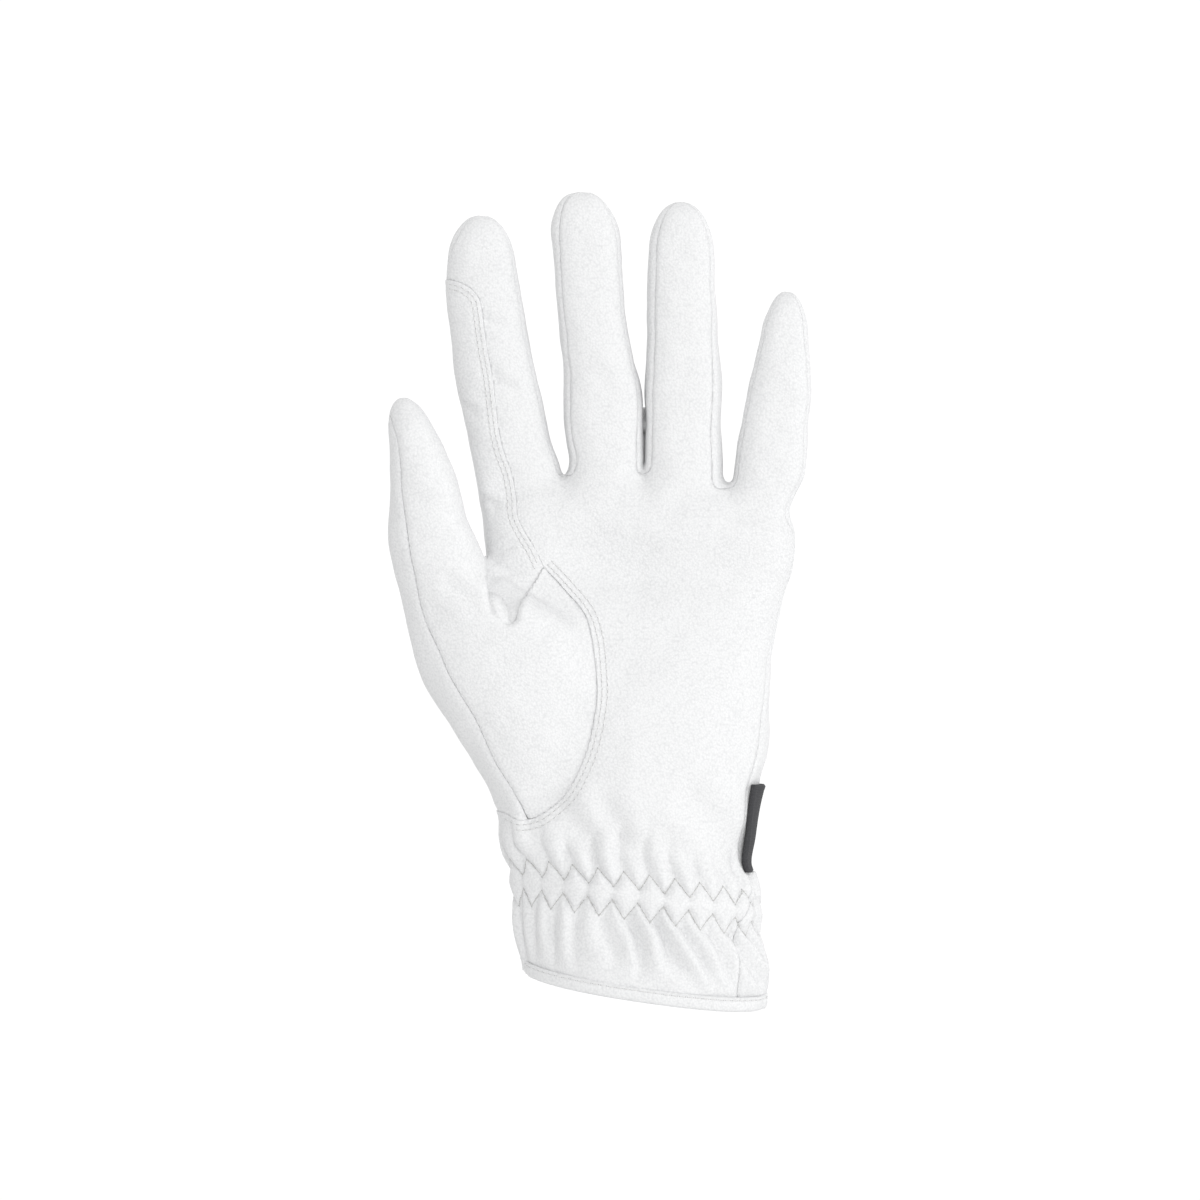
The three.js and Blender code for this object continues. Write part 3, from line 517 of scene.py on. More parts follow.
def seamShare(tube, across, z, level):
    # where the seam to the palm panel runs on each side, from 0 at the side line to 1 at the front
    if tube.name == "hand":
        right = smoothCurve(*zip(*sideSeam), level)
        return np.where(across < 0, 0.0, right), np.zeros(len(z), bool)
    left = np.interp(z, *zip(*tube.seams["left"]))
    right = np.interp(z, *zip(*tube.seams["right"]))
    outer = dict(left=across < 0, right=across >= 0).get(tube.seams["outer"], np.zeros(len(z), bool))
    # the shares were measured on a round section; on a squarer one the same place lies further forward
    n, base = leather["roundness"] + leather["fingerMore"], leather["roundness"]
    share = np.where(across < 0, left, right)
    return (1 - (1 - share ** base) ** (n / base)) ** (1 / n), ~outer


def seamFields(points, normals):
    # distances in mm: above zero on the panel's own side
    x, y, z = points.T
    apart = np.stack([tube.distance(x, y, z) for tube in tubes[:-1]])
    weight = np.exp(-(apart - apart.min(0)) / 0.8)
    weight /= weight.sum(0)
    palm = np.zeros(len(x))
    back = np.zeros(len(x))
    sideways = np.maximum(np.hypot(normals[:, 0], 0.3 * normals[:, 2]), 0.35)
    for share, tube in zip(weight, tubes):
        level, _ = tube.heights(x, y, z)
        across, through, _, depth = tube.frame(x, y, level)
        n = tube.power(across, z)
        ratio = np.maximum((np.abs(across) ** n + np.abs(through) ** n) ** (1 / n), 1e-6)
        frontal = -through / ratio
        seam, strip = seamShare(tube, across, z, level)
        palm += share * (frontal - seam) * depth / sideways
        back += share * (np.where(strip, -frontal - seam, seam - frontal)) * depth / sideways
    behind = softStep(-4, 2, y)
    before, after = (areaDistance(x, z, outlines[side]) for side in ("thumbFront", "thumbBack"))
    onThumb = before * (1 - behind) + after * behind
    inValley = np.minimum(np.minimum(valleyChart(x, z) + 3, -4 - y), 95 - z)
    face = np.minimum(areaDistance(x, z, outlines["thumbFace"]), np.maximum(-7 * normals[:, 1], inValley))
    fingerLines = [(tube.at("left", z) + tube.at("right", z)) / 2 for tube in fingerTubes]
    return dict(palm=palm, back=back, thumb=onThumb, thumbFace=face,
                patch=areaDistance(x, z, outlines["patch"]),
                pastMiddle=x - fingerLines[1], pastRing=x - fingerLines[2],
                hem=cuffLevel(x, z) - hemLine(x, y))


def hemLine(x, y):
    depth = handTube.at("depth", -20.0)
    out = np.clip(np.abs(y) / depth, 0, 1)
    return cuff["hem"] + 1.0 - cuff["bow"] * out


def onlyUsed(points, normals, faces, fields):
    # leaves out the points that no face has
    used, faces = np.unique(faces, return_inverse=True)
    return dict(points=points[used], normals=normals[used], faces=faces.reshape(-1, 3),
                fields={name: own[used] for name, own in fields.items()})


def clip(mesh, value):
    # the part of the mesh where a value is above zero, cut exactly along the line between
    value = np.where(np.abs(value) < 0.03, 1e-4, value)
    faces = mesh["faces"]
    inside = value[faces] > 0
    count = inside.sum(1)
    keep = [faces[count == 3]]
    ends = []
    for alone, chosen in ((True, count == 1), (False, count == 2)):
        part = faces[chosen]
        flags = inside[chosen] == alone
        first = np.argmax(flags, 1)
        turned = np.stack([part[np.arange(len(part)), (first + i) % 3] for i in range(3)], 1)
        ends.append(turned)
    pairs = np.concatenate([ends[0][:, [0, 1]], ends[0][:, [0, 2]], ends[1][:, [0, 1]], ends[1][:, [0, 2]]])
    ordered = np.sort(pairs, 1)
    unique, place = np.unique(ordered, axis=0, return_inverse=True)
    place = place.reshape(-1)
    a, b = unique.T
    t = (value[a] / (value[a] - value[b]))[:, None]
    points = np.vstack([mesh["points"], mesh["points"][a] * (1 - t) + mesh["points"][b] * t])
    normals = np.vstack([mesh["normals"], mesh["normals"][a] * (1 - t) + mesh["normals"][b] * t])
    fields = {
        name: np.concatenate([own, own[a] * (1 - t[:, 0]) + own[b] * t[:, 0]]) for name,
        own in mesh["fields"].items()
    }
    new = place + len(mesh["points"])
    one, two = len(ends[0]), len(ends[1])
    ab, ac = new[:one], new[one:2 * one]
    ob, oc = new[2 * one:2 * one + two], new[2 * one + two:]
    keep.append(np.stack([ends[0][:, 0], ab, ac], 1))
    keep.append(np.stack([ob, ends[1][:, 1], ends[1][:, 2]], 1))
    keep.append(np.stack([ob, ends[1][:, 2], oc], 1))
    return onlyUsed(points, normals, np.concatenate(keep), fields)


seamGap = dict(sewn=(0.05, 0.05), topstitched=(0.005, 0.02), pitch=2.0)
topstitchedFields = ("thumb", "patch")


def panelOf(mesh, *tests):
    # each test is a field, with a minus before it for the other side
    for test in tests:
        side = -1 if test.startswith("-") else 1
        pull = 0.5 + 0.5 * np.cos(mesh["points"][:, 2] * 2 * math.pi / seamGap["pitch"])
        field = test.lstrip("-")
        least, more = seamGap["topstitched" if field in topstitchedFields else "sewn"]
        mesh = clip(mesh, side * mesh["fields"][field] - least - more * pull)
    return mesh


def roundedSection(turn):
    # a place on the outline of a section, as shares of its half width and half depth
    c, s = np.cos(turn), np.sin(turn)
    power = 2 / leather["roundness"]
    return np.sign(c) * np.abs(c) ** power, np.sign(s) * np.abs(s) ** power


wristAngles = np.linspace(-math.pi / 2, 1.5 * math.pi, 1441)
wristOutline = np.stack(roundedSection(wristAngles), 1) * (gathers["halfWidth"], gathers["halfDepth"])
wristLengths = lengthsAlong(wristOutline)
gatherLength = wristLengths[-1] / gathers["count"]


def cuffTurn(x, y, z):
    # place round the wrist in gathers: whole numbers are peaks of the upper row of stitches
    level = cuffLevel(x, z)
    slid = x + cuff["tilt"] * (level - gathers["middle"])
    across, through, _, _ = handTube.frame(slid, y, level)
    n = leather["roundness"] / 2
    turn = np.arctan2(np.sign(through) * np.abs(through) ** n, np.sign(across) * np.abs(across) ** n)
    turn = np.where(turn < -math.pi / 2, turn + 2 * math.pi, turn)
    return np.interp(turn, wristAngles, wristLengths) / gatherLength + 0.5, level


def zigzag(turn):
    return 1 - 4 * np.abs(turn - np.round(turn))


def unevenness(turn, seed):
    rng = np.random.default_rng(seed)
    rates = rng.integers(2, 9, 6)
    shifts = rng.uniform(0, 2 * math.pi, 6)
    return sum(np.sin(2 * math.pi * turn * r / gathers["count"] + s) for r, s in zip(rates, shifts)) / 3


def gatherRelief(x, y, z):
    turn, level = cuffTurn(x, y, z)
    level = level - cuff["waistBow"] * np.abs(y) / gathers["halfDepth"]
    above = level - gathers["upper"] - gathers["upperRise"] * zigzag(turn)
    below = gathers["lower"] - gathers["lowerRise"] * zigzag(turn) - level
    lively = 1 + 0.3 * unevenness(turn, 3)
    between = np.minimum(-above, -below)
    puff = gathers["swell"] * (1 - np.exp(-np.clip(between, 0, None) / 1.4)) * lively
    rib = np.abs(np.sin(math.pi * turn)) ** 0.8 - 0.4
    top, end = gathers["fadeTop"]
    reachUp = end - 4 + 6 * unevenness(turn, 5)
    ribs = gathers["ribSwell"] * rib * (1 - np.exp(-np.clip(above, 0, None) / 1.3)) * lively
    ribs = ribs * (1 - softStep(top - 3, reachUp, level))
    fall = np.clip(gathers["lower"] - level, 0, None)
    leanHere = gathers["lean"] * softStep(*gathers["leanFrom"], x - 0.5 * fall) * softStep(4, -10, y)
    leaned = turn - leanHere * fall / gatherLength + 0.3 * unevenness(turn, 9) * softStep(3, 16, fall)
    fold = np.sin(math.pi * (leaned - np.floor(leaned)) ** gathers["steep"]) ** 0.9 - 0.45
    folds = gathers["foldSwell"] * fold * (1 - np.exp(-np.clip(below, 0, None) / 1.5)) * (1 - softStep(9,
                                                                                                       22,
                                                                                                       fall))
    folds = folds * (1 + 0.35 * unevenness(leaned, 11))
    relief = np.where(between > 0, puff, np.where(above > 0, ribs, folds))
    return (relief - gathers["pinch"]) * (1 - softStep(14, 24, level))


def creaseRelief(points, normals):
    x, _, z = points.T
    total = np.zeros(len(x))
    for ax, az, bx, bz, depth, width in creases:
        near = (np.abs(x - (ax + bx) / 2) < 22) & (np.abs(z - (az + bz) / 2) < 14)
        dx, dz = bx - ax, bz - az
        t = ((x[near] - ax) * dx + (z[near] - az) * dz) / (dx * dx + dz * dz)
        side = ((x[near] - ax) * dz - (z[near] - az) * dx) / math.hypot(dx, dz)
        fade = softStep(-0.25, 0.15, t) * (1 - softStep(0.8, 1.25, t))
        total[near] += fade * (0.5 * depth * bell(np.abs(side) - 1.9 * width,
                                                  1.2 * width) - depth * bell(side, width))
    return total * softStep(0.1, 0.5, -normals[:, 1])


def looseRelief(points):
    # slow unevenness of worn, filled leather
    rng = np.random.default_rng(7)
    total = np.zeros(len(points))
    for size, height in ((34, 0.22), (21, 0.16), (13, 0.1), (8, 0.06)):
        for _ in range(4):
            way = rng.normal(size=3)
            way /= np.linalg.norm(way)
            total += height / 2 * np.sin(points @ way * 2 * math.pi / size + rng.uniform(0, 6.3))
    return total


def hollowRelief(points, normals):
    x, _, z = points.T
    total = sum(depth * bell((x - cx) / rx, 1) * bell((z - cz) / rz, 1) for cx, cz, rx, rz, depth in hollows)
    return total * softStep(0.1, 0.6, -normals[:, 1])


def sharedRelief(points, normals):
    x, y, z = points.T
    return gatherRelief(x, y, z) + creaseRelief(points,
                                                normals) + looseRelief(points) - hollowRelief(points, normals)


stitchPitch = dict(top=1.95, finger=2.0, hem=2.3)


def plainSeam(distance, along):
    pull = 0.5 + 0.5 * np.cos(2 * math.pi * along / stitchPitch["finger"])
    return 0.12 * bell(distance - 1.7, 1.2) - 0.34 * bell(distance,
                                                          0.5) - 0.12 * pull * bell(distance - 0.3, 0.8)


def overSeam(distance, rows):
    rim = 0.34 * np.exp(-((distance / 6.5) ** 2)) - 0.15 * bell(distance, 0.4)
    return rim - sum(0.17 * bell(distance - row, 0.42) for row in rows)


def underSeam(distance):
    return -0.2 * bell(distance, 1.5)


patchRows = (1.2, 2.5)
thumbRows = (1.35, 2.9)


def seamRelief(name, points, fields):
    x, y, z = points.T
    round_, patch, web = (lineDistance(x, z, lines[key]) for key in ("thumbRound", "patch", "web"))
    front = 1 - softStep(-3, 1, y)
    ridge = lambda field, side=1: plainSeam(np.clip(side * fields[field], 0, None), z)
    if name == "palmPanel":
        return ridge("palm") + overSeam(round_, thumbRows) * front + underSeam(patch) * front
    if name == "indexPatch":
        return ridge("palm") + overSeam(patch, patchRows) * front + underSeam(web) * front
    if name == "backPanel":
        return ridge("back") + ridge("thumb", -1) * (1 - front)
    if name == "thumbFront":
        lip = softStep(60, 76, z) * bell(web, 1.6)
        return underSeam(round_) * front + 0.35 * lip + ridge("thumbFace")
    if name == "thumbBack":
        return ridge("thumbFace", -1) + ridge("thumb") * (1 - front)
    return ridge("palm", -1) + ridge("back", -1)


def meshObject(name, points, faces, smooth=True):
    mesh = bpy.data.meshes.new(name)
    mesh.vertices.add(len(points))
    mesh.vertices.foreach_set("co", (np.asarray(points) * mm).astype(np.float32).ravel())
    count, corners = faces.shape
    mesh.loops.add(faces.size)
    mesh.loops.foreach_set("vertex_index", faces.ravel().astype(np.int32))
    mesh.polygons.add(count)
    mesh.polygons.foreach_set("loop_start", np.arange(0, faces.size, corners, dtype=np.int32))
    mesh.polygons.foreach_set("use_smooth", np.full(count, smooth))
    mesh.update(calc_edges=True)
    mesh.validate()
    piece = bpy.data.objects.new(name, mesh)
    bpy.context.scene.collection.objects.link(piece)
    return piece


def rimEdges(faces):
    # edges that only one face has, in that face's own direction
    edges = np.concatenate([faces[:, [0, 1]], faces[:, [1, 2]], faces[:, [2, 0]]])
    key = np.sort(edges, 1)
    _, place, count = np.unique(key, axis=0, return_index=True, return_counts=True)
    return edges[place[count == 1]]


def closedPanel(name, panel):
    points, normals, faces = panel["points"], panel["normals"], panel["faces"]
    normals = normals / np.linalg.norm(normals, axis=1)[:, None]
    relief = sharedRelief(points, normals)
    outer = points + normals * (relief + seamRelief(name, points, panel["fields"]))[:, None]
    inner = points + normals * (relief * leather["liningSmooth"] - leather["wall"])[:, None]
    rim = rimEdges(faces)
    count = len(points)
    side = np.concatenate([np.stack([rim[:, 1], rim[:, 0], rim[:, 0] + count], 1),
                           np.stack([rim[:, 1], rim[:, 0] + count, rim[:, 1] + count], 1)])
    allFaces = np.concatenate([faces, faces[:, ::-1] + count, side])
    return outer, np.vstack([outer, inner]), allFaces, faces


print("glove: shaping the leather")
boxLow, boxHigh = (-77, -38, -41), (57, 27, 205)
points, quads = netSurface(boxLow, boxHigh, leather["cell"])
print("glove: net of", len(points), "points")
points = settle(points, 3)
points = relax(points, quads, 3)
points = settle(points, 2)
normals = fieldSlope(points)
normals /= np.linalg.norm(normals, axis=1)[:, None]
triangles = np.concatenate([quads[:, [0, 1, 2]], quads[:, [0, 2, 3]]])
whole = dict(points=points, normals=normals, faces=triangles, fields=seamFields(points, normals))
whole = clip(whole, whole["fields"]["hem"])

recipes = dict(
    palmPanel=("palm", "-thumb", "-patch"),
    indexPatch=("palm", "-thumb", "patch"),
    backPanel=("back", "-thumb"),
    thumbFront=("thumb", "thumbFace"),
    thumbBack=("thumb", "-thumbFace"),
    fourchetteIndexMiddle=("-palm", "-back", "-thumb", "-pastMiddle"),
    fourchetteMiddleRing=("-palm", "-back", "-thumb", "pastMiddle", "-pastRing"),
    fourchetteRingLittle=("-palm", "-back", "-thumb", "pastRing"),
)
cadNames = dict(
    palmPanel="palm_panel", indexPatch="index_patch", backPanel="back_panel", thumbFront="thumb_front",
    thumbBack="thumb_back", fourchetteIndexMiddle="fourchette_index_middle",
    fourchetteMiddleRing="fourchette_middle_ring", fourchetteRingLittle="fourchette_ring_little",
)


def biggestPart(faces, count):
    # leaves out crumbs that a cut may shed
    label = np.arange(count)
    for _ in range(400):
        low = label[faces].min(1)
        new = label.copy()
        for i in range(3):
            np.minimum.at(new, faces[:, i], low)
        new = new[new]
        if np.array_equal(new, label):
            break
        label = new
    names, sizes = np.unique(label[faces[:, 0]], return_counts=True)
    return faces[label[faces[:, 0]] == names[np.argmax(sizes)]]


panels = {}
outerPoints, outerFaces, base = [], [], 0
for name, tests in recipes.items():
    panel = panelOf(whole, *tests)
    faces = biggestPart(panel["faces"], len(panel["points"]))
    panel = onlyUsed(panel["points"], panel["normals"], faces, panel["fields"])
    outer, allPoints, allFaces, faces = closedPanel(name, panel)
    panels[name] = meshObject(name, allPoints, allFaces)
    outerPoints.append(outer)
    outerFaces.append(faces + base)
    base += len(outer)
    print("glove:", name, len(allFaces), "triangles")
outerPoints, outerFaces = np.vstack(outerPoints), np.concatenate(outerFaces)
leatherTree = BVHTree.FromPolygons(outerPoints.tolist(), outerFaces.tolist())


def landing(origins, ways):
    # where a ray first meets the leather, and which way the leather faces there
    spots, faceWays = [], []
    for origin, way in zip(origins, ways):
        spot, normal, _, _ = leatherTree.ray_cast(Vector(origin), Vector(way))
        spots.append(tuple(spot) if spot else (np.nan,) * 3)
        faceWays.append(tuple(normal) if normal else (0, 0, 1))
    return np.array(spots), np.array(faceWays)


def onFront(across, up):
    return landing([(x, -70, z) for x, z in zip(across, up)], [(0, 1, 0)] * len(across))


def threadMesh(name, starts, ends, facing, radius, lift, sink=0.4):
    # one short arched thread for each stitch, all in one mesh
    rings, sides = 6, 6
    length = ends - starts
    ahead = length / np.linalg.norm(length, axis=1)[:, None]
    across = np.cross(ahead, facing)
    across /= np.linalg.norm(across, axis=1)[:, None]
    up = np.cross(across, ahead)
    rows = []
    for i in range(rings):
        share = i / (rings - 1)
        arch = math.sin(math.pi * share)
        thick = radius * (0.55 + 0.45 * arch ** 0.5)
        middle = starts + length * share + up * (lift * arch - sink * radius * (1 - arch))
        for j in range(sides):
            turn = 2 * math.pi * j / sides
            rows.append(middle + across * math.cos(turn) * thick + up * math.sin(turn) * thick)
    points = np.stack(rows, 1).reshape(-1, 3)
    faces = []
    for i in range(rings - 1):
        for j in range(sides):
            a, b = i * sides + j, i * sides + (j + 1) % sides
            faces += [(a, b, b + sides), (a, b + sides, a + sides)]
    for j in range(1, sides - 1):
        faces.append((0, j + 1, j))
        last = (rings - 1) * sides
        faces.append((last, last + j, last + j + 1))
    faces = np.array(faces)
    every = (faces[None] + (np.arange(len(starts)) * rings * sides)[:, None, None]).reshape(-1, 3)
    return meshObject(name, points, every)


# Grey capsules at both ends of each stitch; their colour is painted shade of the needle holes.
holeShadeCapsule = dict(start=0.02, end=0.24, depth=0.03, radius=0.15, lift=0.02, sink=0.2)


def sewn(name, starts, ends, facing, radius, lift):
    # the stitches, and grey capsules at their ends, painted shade of the needle holes they dive into
    facing = facing / np.linalg.norm(facing, axis=1)[:, None]
    ahead = ends - starts
    ahead /= np.linalg.norm(ahead, axis=1)[:, None]
    way, out = np.vstack([-ahead, ahead]), np.vstack([facing, facing])
    shadedHoles = np.vstack([starts, ends]) - out * holeShadeCapsule["depth"]
    first, last = (shadedHoles + way * holeShadeCapsule[end] for end in ("start", "end"))
    sizes = (holeShadeCapsule[key] for key in ("radius", "lift", "sink"))
    holeShadeDots = threadMesh(name + "Holes", first, last, out, *sizes)
    return threadMesh(name, starts, ends, facing, radius, lift), holeShadeDots


def shiftedLine(line, shift):
    ahead = np.gradient(line, axis=0)
    ahead /= np.hypot(*ahead.T)[:, None]
    return line + np.stack([-ahead[:, 1], ahead[:, 0]], 1) * shift


def alongLine(line, pitch, share):
    lengths = lengthsAlong(line)
    starts = np.arange(pitch * 0.3, lengths[-1] - pitch, pitch)
    return spotsAlong(line, lengths, starts), spotsAlong(line, lengths, starts + pitch * share)


def topStitches(name, jobs, radius=0.17, lift=0.12):
    starts, ends, facing = [], [], []
    for line, shift in jobs:
        one, two = alongLine(shiftedLine(line, shift), stitchPitch["top"], 0.68)
        a, na = onFront(*one.T)
        b, _ = onFront(*two.T)
        fine = np.isfinite(a).all(1) & np.isfinite(b).all(1) & (np.abs(a[:, 1] - b[:, 1]) < 1.5)
        starts.append(a[fine])
        ends.append(b[fine])
        facing.append(na[fine])
    return sewn(name, np.vstack(starts), np.vstack(ends), np.vstack(facing), radius, lift)


thumbStitches = topStitches("thumbTopstitches", [(lines["thumbRound"], row) for row in thumbRows])
patchStitches = topStitches("patchTopstitches", [(lines["patch"], -row) for row in patchRows])


def wristSpot(turn, level):
    # from a place round the wrist and a height square to the cuff, to the leather's surface
    angle = np.interp((turn - 0.5) * gatherLength % wristLengths[-1], wristLengths, wristAngles)
    across, through = roundedSection(angle)
    bowed = level + cuff["waistBow"] * np.abs(through)
    left, right, depth = (handTube.at(k, bowed) for k in ("left", "right", "depth"))
    x = (left + right) / 2 + (right - left) / 2 * across - cuff["tilt"] * (bowed - gathers["middle"])
    y = depth * through
    z = bowed + cuff["tilt"] * x
    away = np.stack([np.cos(angle) * 0.6, np.sin(angle), 0 * angle], 1)
    away /= np.linalg.norm(away, axis=1)[:, None]
    return landing(np.stack([x, y, z], 1) + away * 12, -away)


def zigzagStitches():
    legs = 2 * gathers["count"]
    perLeg = 4
    starts, ends, facing = [], [], []
    for height, rise in ((gathers["upper"], gathers["upperRise"]), (gathers["lower"], -gathers["lowerRise"])):
        at = np.arange(legs * perLeg) / (2 * perLeg)
        after = at + 0.78 / (2 * perLeg)
        a, na = wristSpot(at, height + rise * zigzag(at))
        b, _ = wristSpot(after, height + rise * zigzag(after))
        fine = np.isfinite(a).all(1) & np.isfinite(b).all(1)
        fine[fine] &= np.linalg.norm(a[fine] - b[fine], axis=1) < 3
        starts.append(a[fine])
        ends.append(b[fine])
        facing.append(na[fine])
    return sewn("gatherStitches", np.vstack(starts), np.vstack(ends), np.vstack(facing), 0.17, 0.1)


zigzags = zigzagStitches()

binding = dict(height=4.3, wall=0.6, slot=1.5, steps=336, stitchHeight=3.3, sectionAt=-28.0, foldsAbove=4.0)


def awayFrom(angle, left, right, depth):
    # which way the wrist's outline faces
    c, s = np.cos(angle), np.sin(angle)
    away = np.stack([c / (right - left) * 2, s / depth, 0 * c], -1)
    return away / np.linalg.norm(away, axis=-1, keepdims=True)


def hemPath():
    # the line of the hem, with the folds of the cuff in it
    angle = np.linspace(0, 2 * math.pi, binding["steps"], endpoint=False)
    across, through = roundedSection(angle)
    left, right, depth = (handTube.at(k, binding["sectionAt"]) for k in ("left", "right", "depth"))
    x = (left + right) / 2 + (right - left) / 2 * across
    z = cuff["hem"] - cuff["bow"] * np.abs(through) + cuff["tilt"] * x
    path = np.stack([x, depth * through, z], 1)
    away = awayFrom(angle, left, right, depth)
    folds = gatherRelief(*(path + np.array([0, 0, binding["foldsAbove"]])).T)
    return path + away * folds[:, None], away


def bindingPiece():
    path, away = hemPath()
    half = binding["slot"] / 2
    rim = half + binding["wall"]
    top, wall = binding["height"], binding["wall"]
    outline = [(half, top - 0.15), (half + wall * 0.3, top), (rim - 0.05, top - 0.15),
               (rim + 0.12, top * 0.55),
               (rim, 0.9), (rim * 0.75, 0.25), (0, 0), (-rim * 0.75, 0.25), (-rim, 0.9),
               (-rim - 0.05, top * 0.55),
               (-rim + 0.05, top - 0.15), (-half - wall * 0.3, top), (-half, top - 0.15), (-half, 1.6),
               (-half * 0.6, 1.1),
               (0, 0.9), (half * 0.6, 1.1), (half, 1.6)]
    middle = -leather["wall"] / 2
    rows = [path + away * (out + middle) + np.array([0, 0, up]) for out, up in outline]
    points = np.stack(rows, 1).reshape(-1, 3)
    count, steps = len(outline), len(path)
    faces = []
    for i in range(steps):
        for j in range(count):
            a, b = i * count + j, i * count + (j + 1) % count
            c, d = ((i + 1) % steps) * count + (j + 1) % count, ((i + 1) % steps) * count + j
            faces.append((a, b, c, d))
    return meshObject("cuffBinding", points, np.array(faces)[:, ::-1])


bindingObject = bindingPiece()


def hemStitches():
    path, away = hemPath()
    face = binding["slot"] / 2 + binding["wall"] - leather["wall"] / 2 + 0.02
    row = path + away * face + np.array([0, 0, binding["stitchHeight"]])
    closed = np.vstack([row, row[:1]])
    lengths = lengthsAlong(closed)
    count = round(lengths[-1] / stitchPitch["hem"])
    starts = np.arange(count) * lengths[-1] / count
    ends = starts + 0.66 * lengths[-1] / count
    facing = spotsAlong(np.vstack([away, away[:1]]), lengths, starts)
    first, last = (spotsAlong(closed, lengths, at) for at in (starts, ends))
    return sewn("hemStitches", first, last, facing, 0.16, 0.1)


hemThreads = hemStitches()
print("glove: stitches sewn")

# Strap rows: share of its width, and the angles round the wrist where it starts and ends.
strap = dict(width=25.5, length=45, bottom=3.8, thick=1.35, lift=0.5, along=150, across=40,
             rows=((0, -17, 74), (0.33, -19, 75), (0.66, -21, 76), (1, -24, 77)))


def strapPiece():
    up = np.linspace(0, 1, strap["across"] + 1)
    share = np.linspace(0, 1, strap["along"] + 1)
    ups, starts, ends = zip(*strap["rows"])
    start, end = np.interp(up, ups, starts), np.interp(up, ups, ends)
    turn = np.radians(start[None, :] + (end - start)[None, :] * share[:, None])
    z = strap["bottom"] + strap["width"] * np.tile(up, (len(share), 1))
    across, through = roundedSection(turn)
    x = 34 * np.cos(turn)
    for _ in range(4):
        level = cuffLevel(x, z)
        left, right, depth = (handTube.at(k, level) for k in ("left", "right", "depth"))
        x = (left + right) / 2 + (right - left) / 2 * across
    away = awayFrom(turn, left, right, depth)
    bed = np.stack([x, depth * through, z], 2)
    fromEnd = np.minimum(share, 1 - share)[:, None] * strap["length"]
    fromSide = np.minimum(up, 1 - up)[None, :] * strap["width"]
    edge = np.minimum(fromEnd, fromSide)
    rim = 0.18 * bell(edge - 0.9, 0.5) - 0.5 * bell(edge, 0.35)
    outer = bed + away * (strap["lift"] + strap["thick"] + rim)[:, :, None]
    inner = bed + away * strap["lift"]
    rows, columns = outer.shape[:2]
    points = np.vstack([outer.reshape(-1, 3), inner.reshape(-1, 3)])
    number = np.arange(rows * columns).reshape(rows, columns)
    quads = np.stack([number[:-1, :-1], number[1:, :-1], number[1:, 1:], number[:-1, 1:]], 2).reshape(-1, 4)
    below = quads[:, ::-1] + rows * columns
    rim = np.concatenate([number[:, 0], number[-1, 1:], number[::-1, -1][1:], number[0, ::-1][1:]])
    side = np.stack([rim[1:], rim[:-1], rim[:-1] + rows * columns, rim[1:] + rows * columns], 1)
    return meshObject("closureStrap", points, np.concatenate([quads, below, side]))


strapObject = strapPiece()
print("glove: binding and strap made")


class Shade:
    # a node socket that Python's own operators can work on
    def __init__(self, finish, socket):
        self.finish = finish
        self.socket = socket

    def maths(self, operation, *others):
        return self.finish.add("ShaderNodeMath", dict(operation=operation), dict(enumerate((self, *others))))

    def __add__(self, other):
        return self.maths("ADD", other)

    def __radd__(self, other):
        return self.maths("ADD", other)

    def __sub__(self, other):
        return self.maths("SUBTRACT", other)

    def __rsub__(self, other):
        return self.finish.add("ShaderNodeMath", dict(operation="SUBTRACT"), {0: other, 1: self})

    def __mul__(self, other):
        return self.maths("MULTIPLY", other)

    def __rmul__(self, other):
        return self.maths("MULTIPLY", other)

    def clamp(self, low, high):
        return self.finish.add("ShaderNodeClamp", {}, dict(Value=self, Min=low, Max=high))


class Finish:
    # the nodes of a material or of the world
    def __init__(self, owner):
        self.owner = owner
        owner.use_nodes = True
        self.tree = owner.node_tree
        self.tree.nodes.clear()

    def add(self, kind, settings, sockets, output=0):
        node = self.tree.nodes.new(kind)
        for key, value in settings.items():
            setattr(node, key, value)
        for key, value in sockets.items():
            if isinstance(value, Shade):
                self.tree.links.new(value.socket, node.inputs[key])
            else:
                node.inputs[key].default_value = value
        return Shade(self, node.outputs[output]) if node.outputs else None

    def place(self, kind="Object"):
        return self.add("ShaderNodeTexCoord", {}, {}, kind)

    def blendColours(self, share, one, other):
        return self.add("ShaderNodeMix", dict(data_type="RGBA"), {0: share, 6: one, 7: other}, 2)

    def surface(self, sockets):
        shader = self.add("ShaderNodeBsdfPrincipled", {}, sockets)
        self.add("ShaderNodeOutputMaterial", {}, dict(Surface=shader))
        return self.owner


# dim is painted into the grain's hollows as shade, and into random cloudy patches as tone.
whiteLeather = dict(light=(0.765, 0.768, 0.772, 1), dim=(0.665, 0.669, 0.675, 1), grain=1500, roughness=0.5)


def leatherFinish(name, settings):
    finish = Finish(bpy.data.materials.new(name))
    place = finish.place()
    grain = finish.add("ShaderNodeTexVoronoi", dict(feature="SMOOTH_F1"),
                       dict(Vector=place, Scale=settings["grain"], Smoothness=0.35))
    pores = finish.add("ShaderNodeTexNoise", {}, dict(Vector=place, Scale=settings["grain"] * 2.1,
                                                      Detail=2.0))
    cloud = finish.add("ShaderNodeTexNoise", {}, dict(Vector=place, Scale=55.0, Detail=3.0))
    height = (1 - grain) * 0.8 + pores * 0.35
    bump = finish.add("ShaderNodeBump", {}, dict(Strength=0.5, Distance=0.0003, Height=height))
    # Darker colour where the grain lies low is painted shade in its hollows; the cloud noise adds random
    # tone.
    shade = ((grain - 0.3) * 1.5 + (cloud - 0.5) * 0.25).clamp(0, 1)
    colour = finish.blendColours(shade, settings["light"], settings["dim"])
    rough = settings["roughness"] + (cloud - 0.5) * 0.15
    return finish.surface({"Base Color": colour, "Roughness": rough, "Normal": bump,
                           "Specular IOR Level": 0.35})


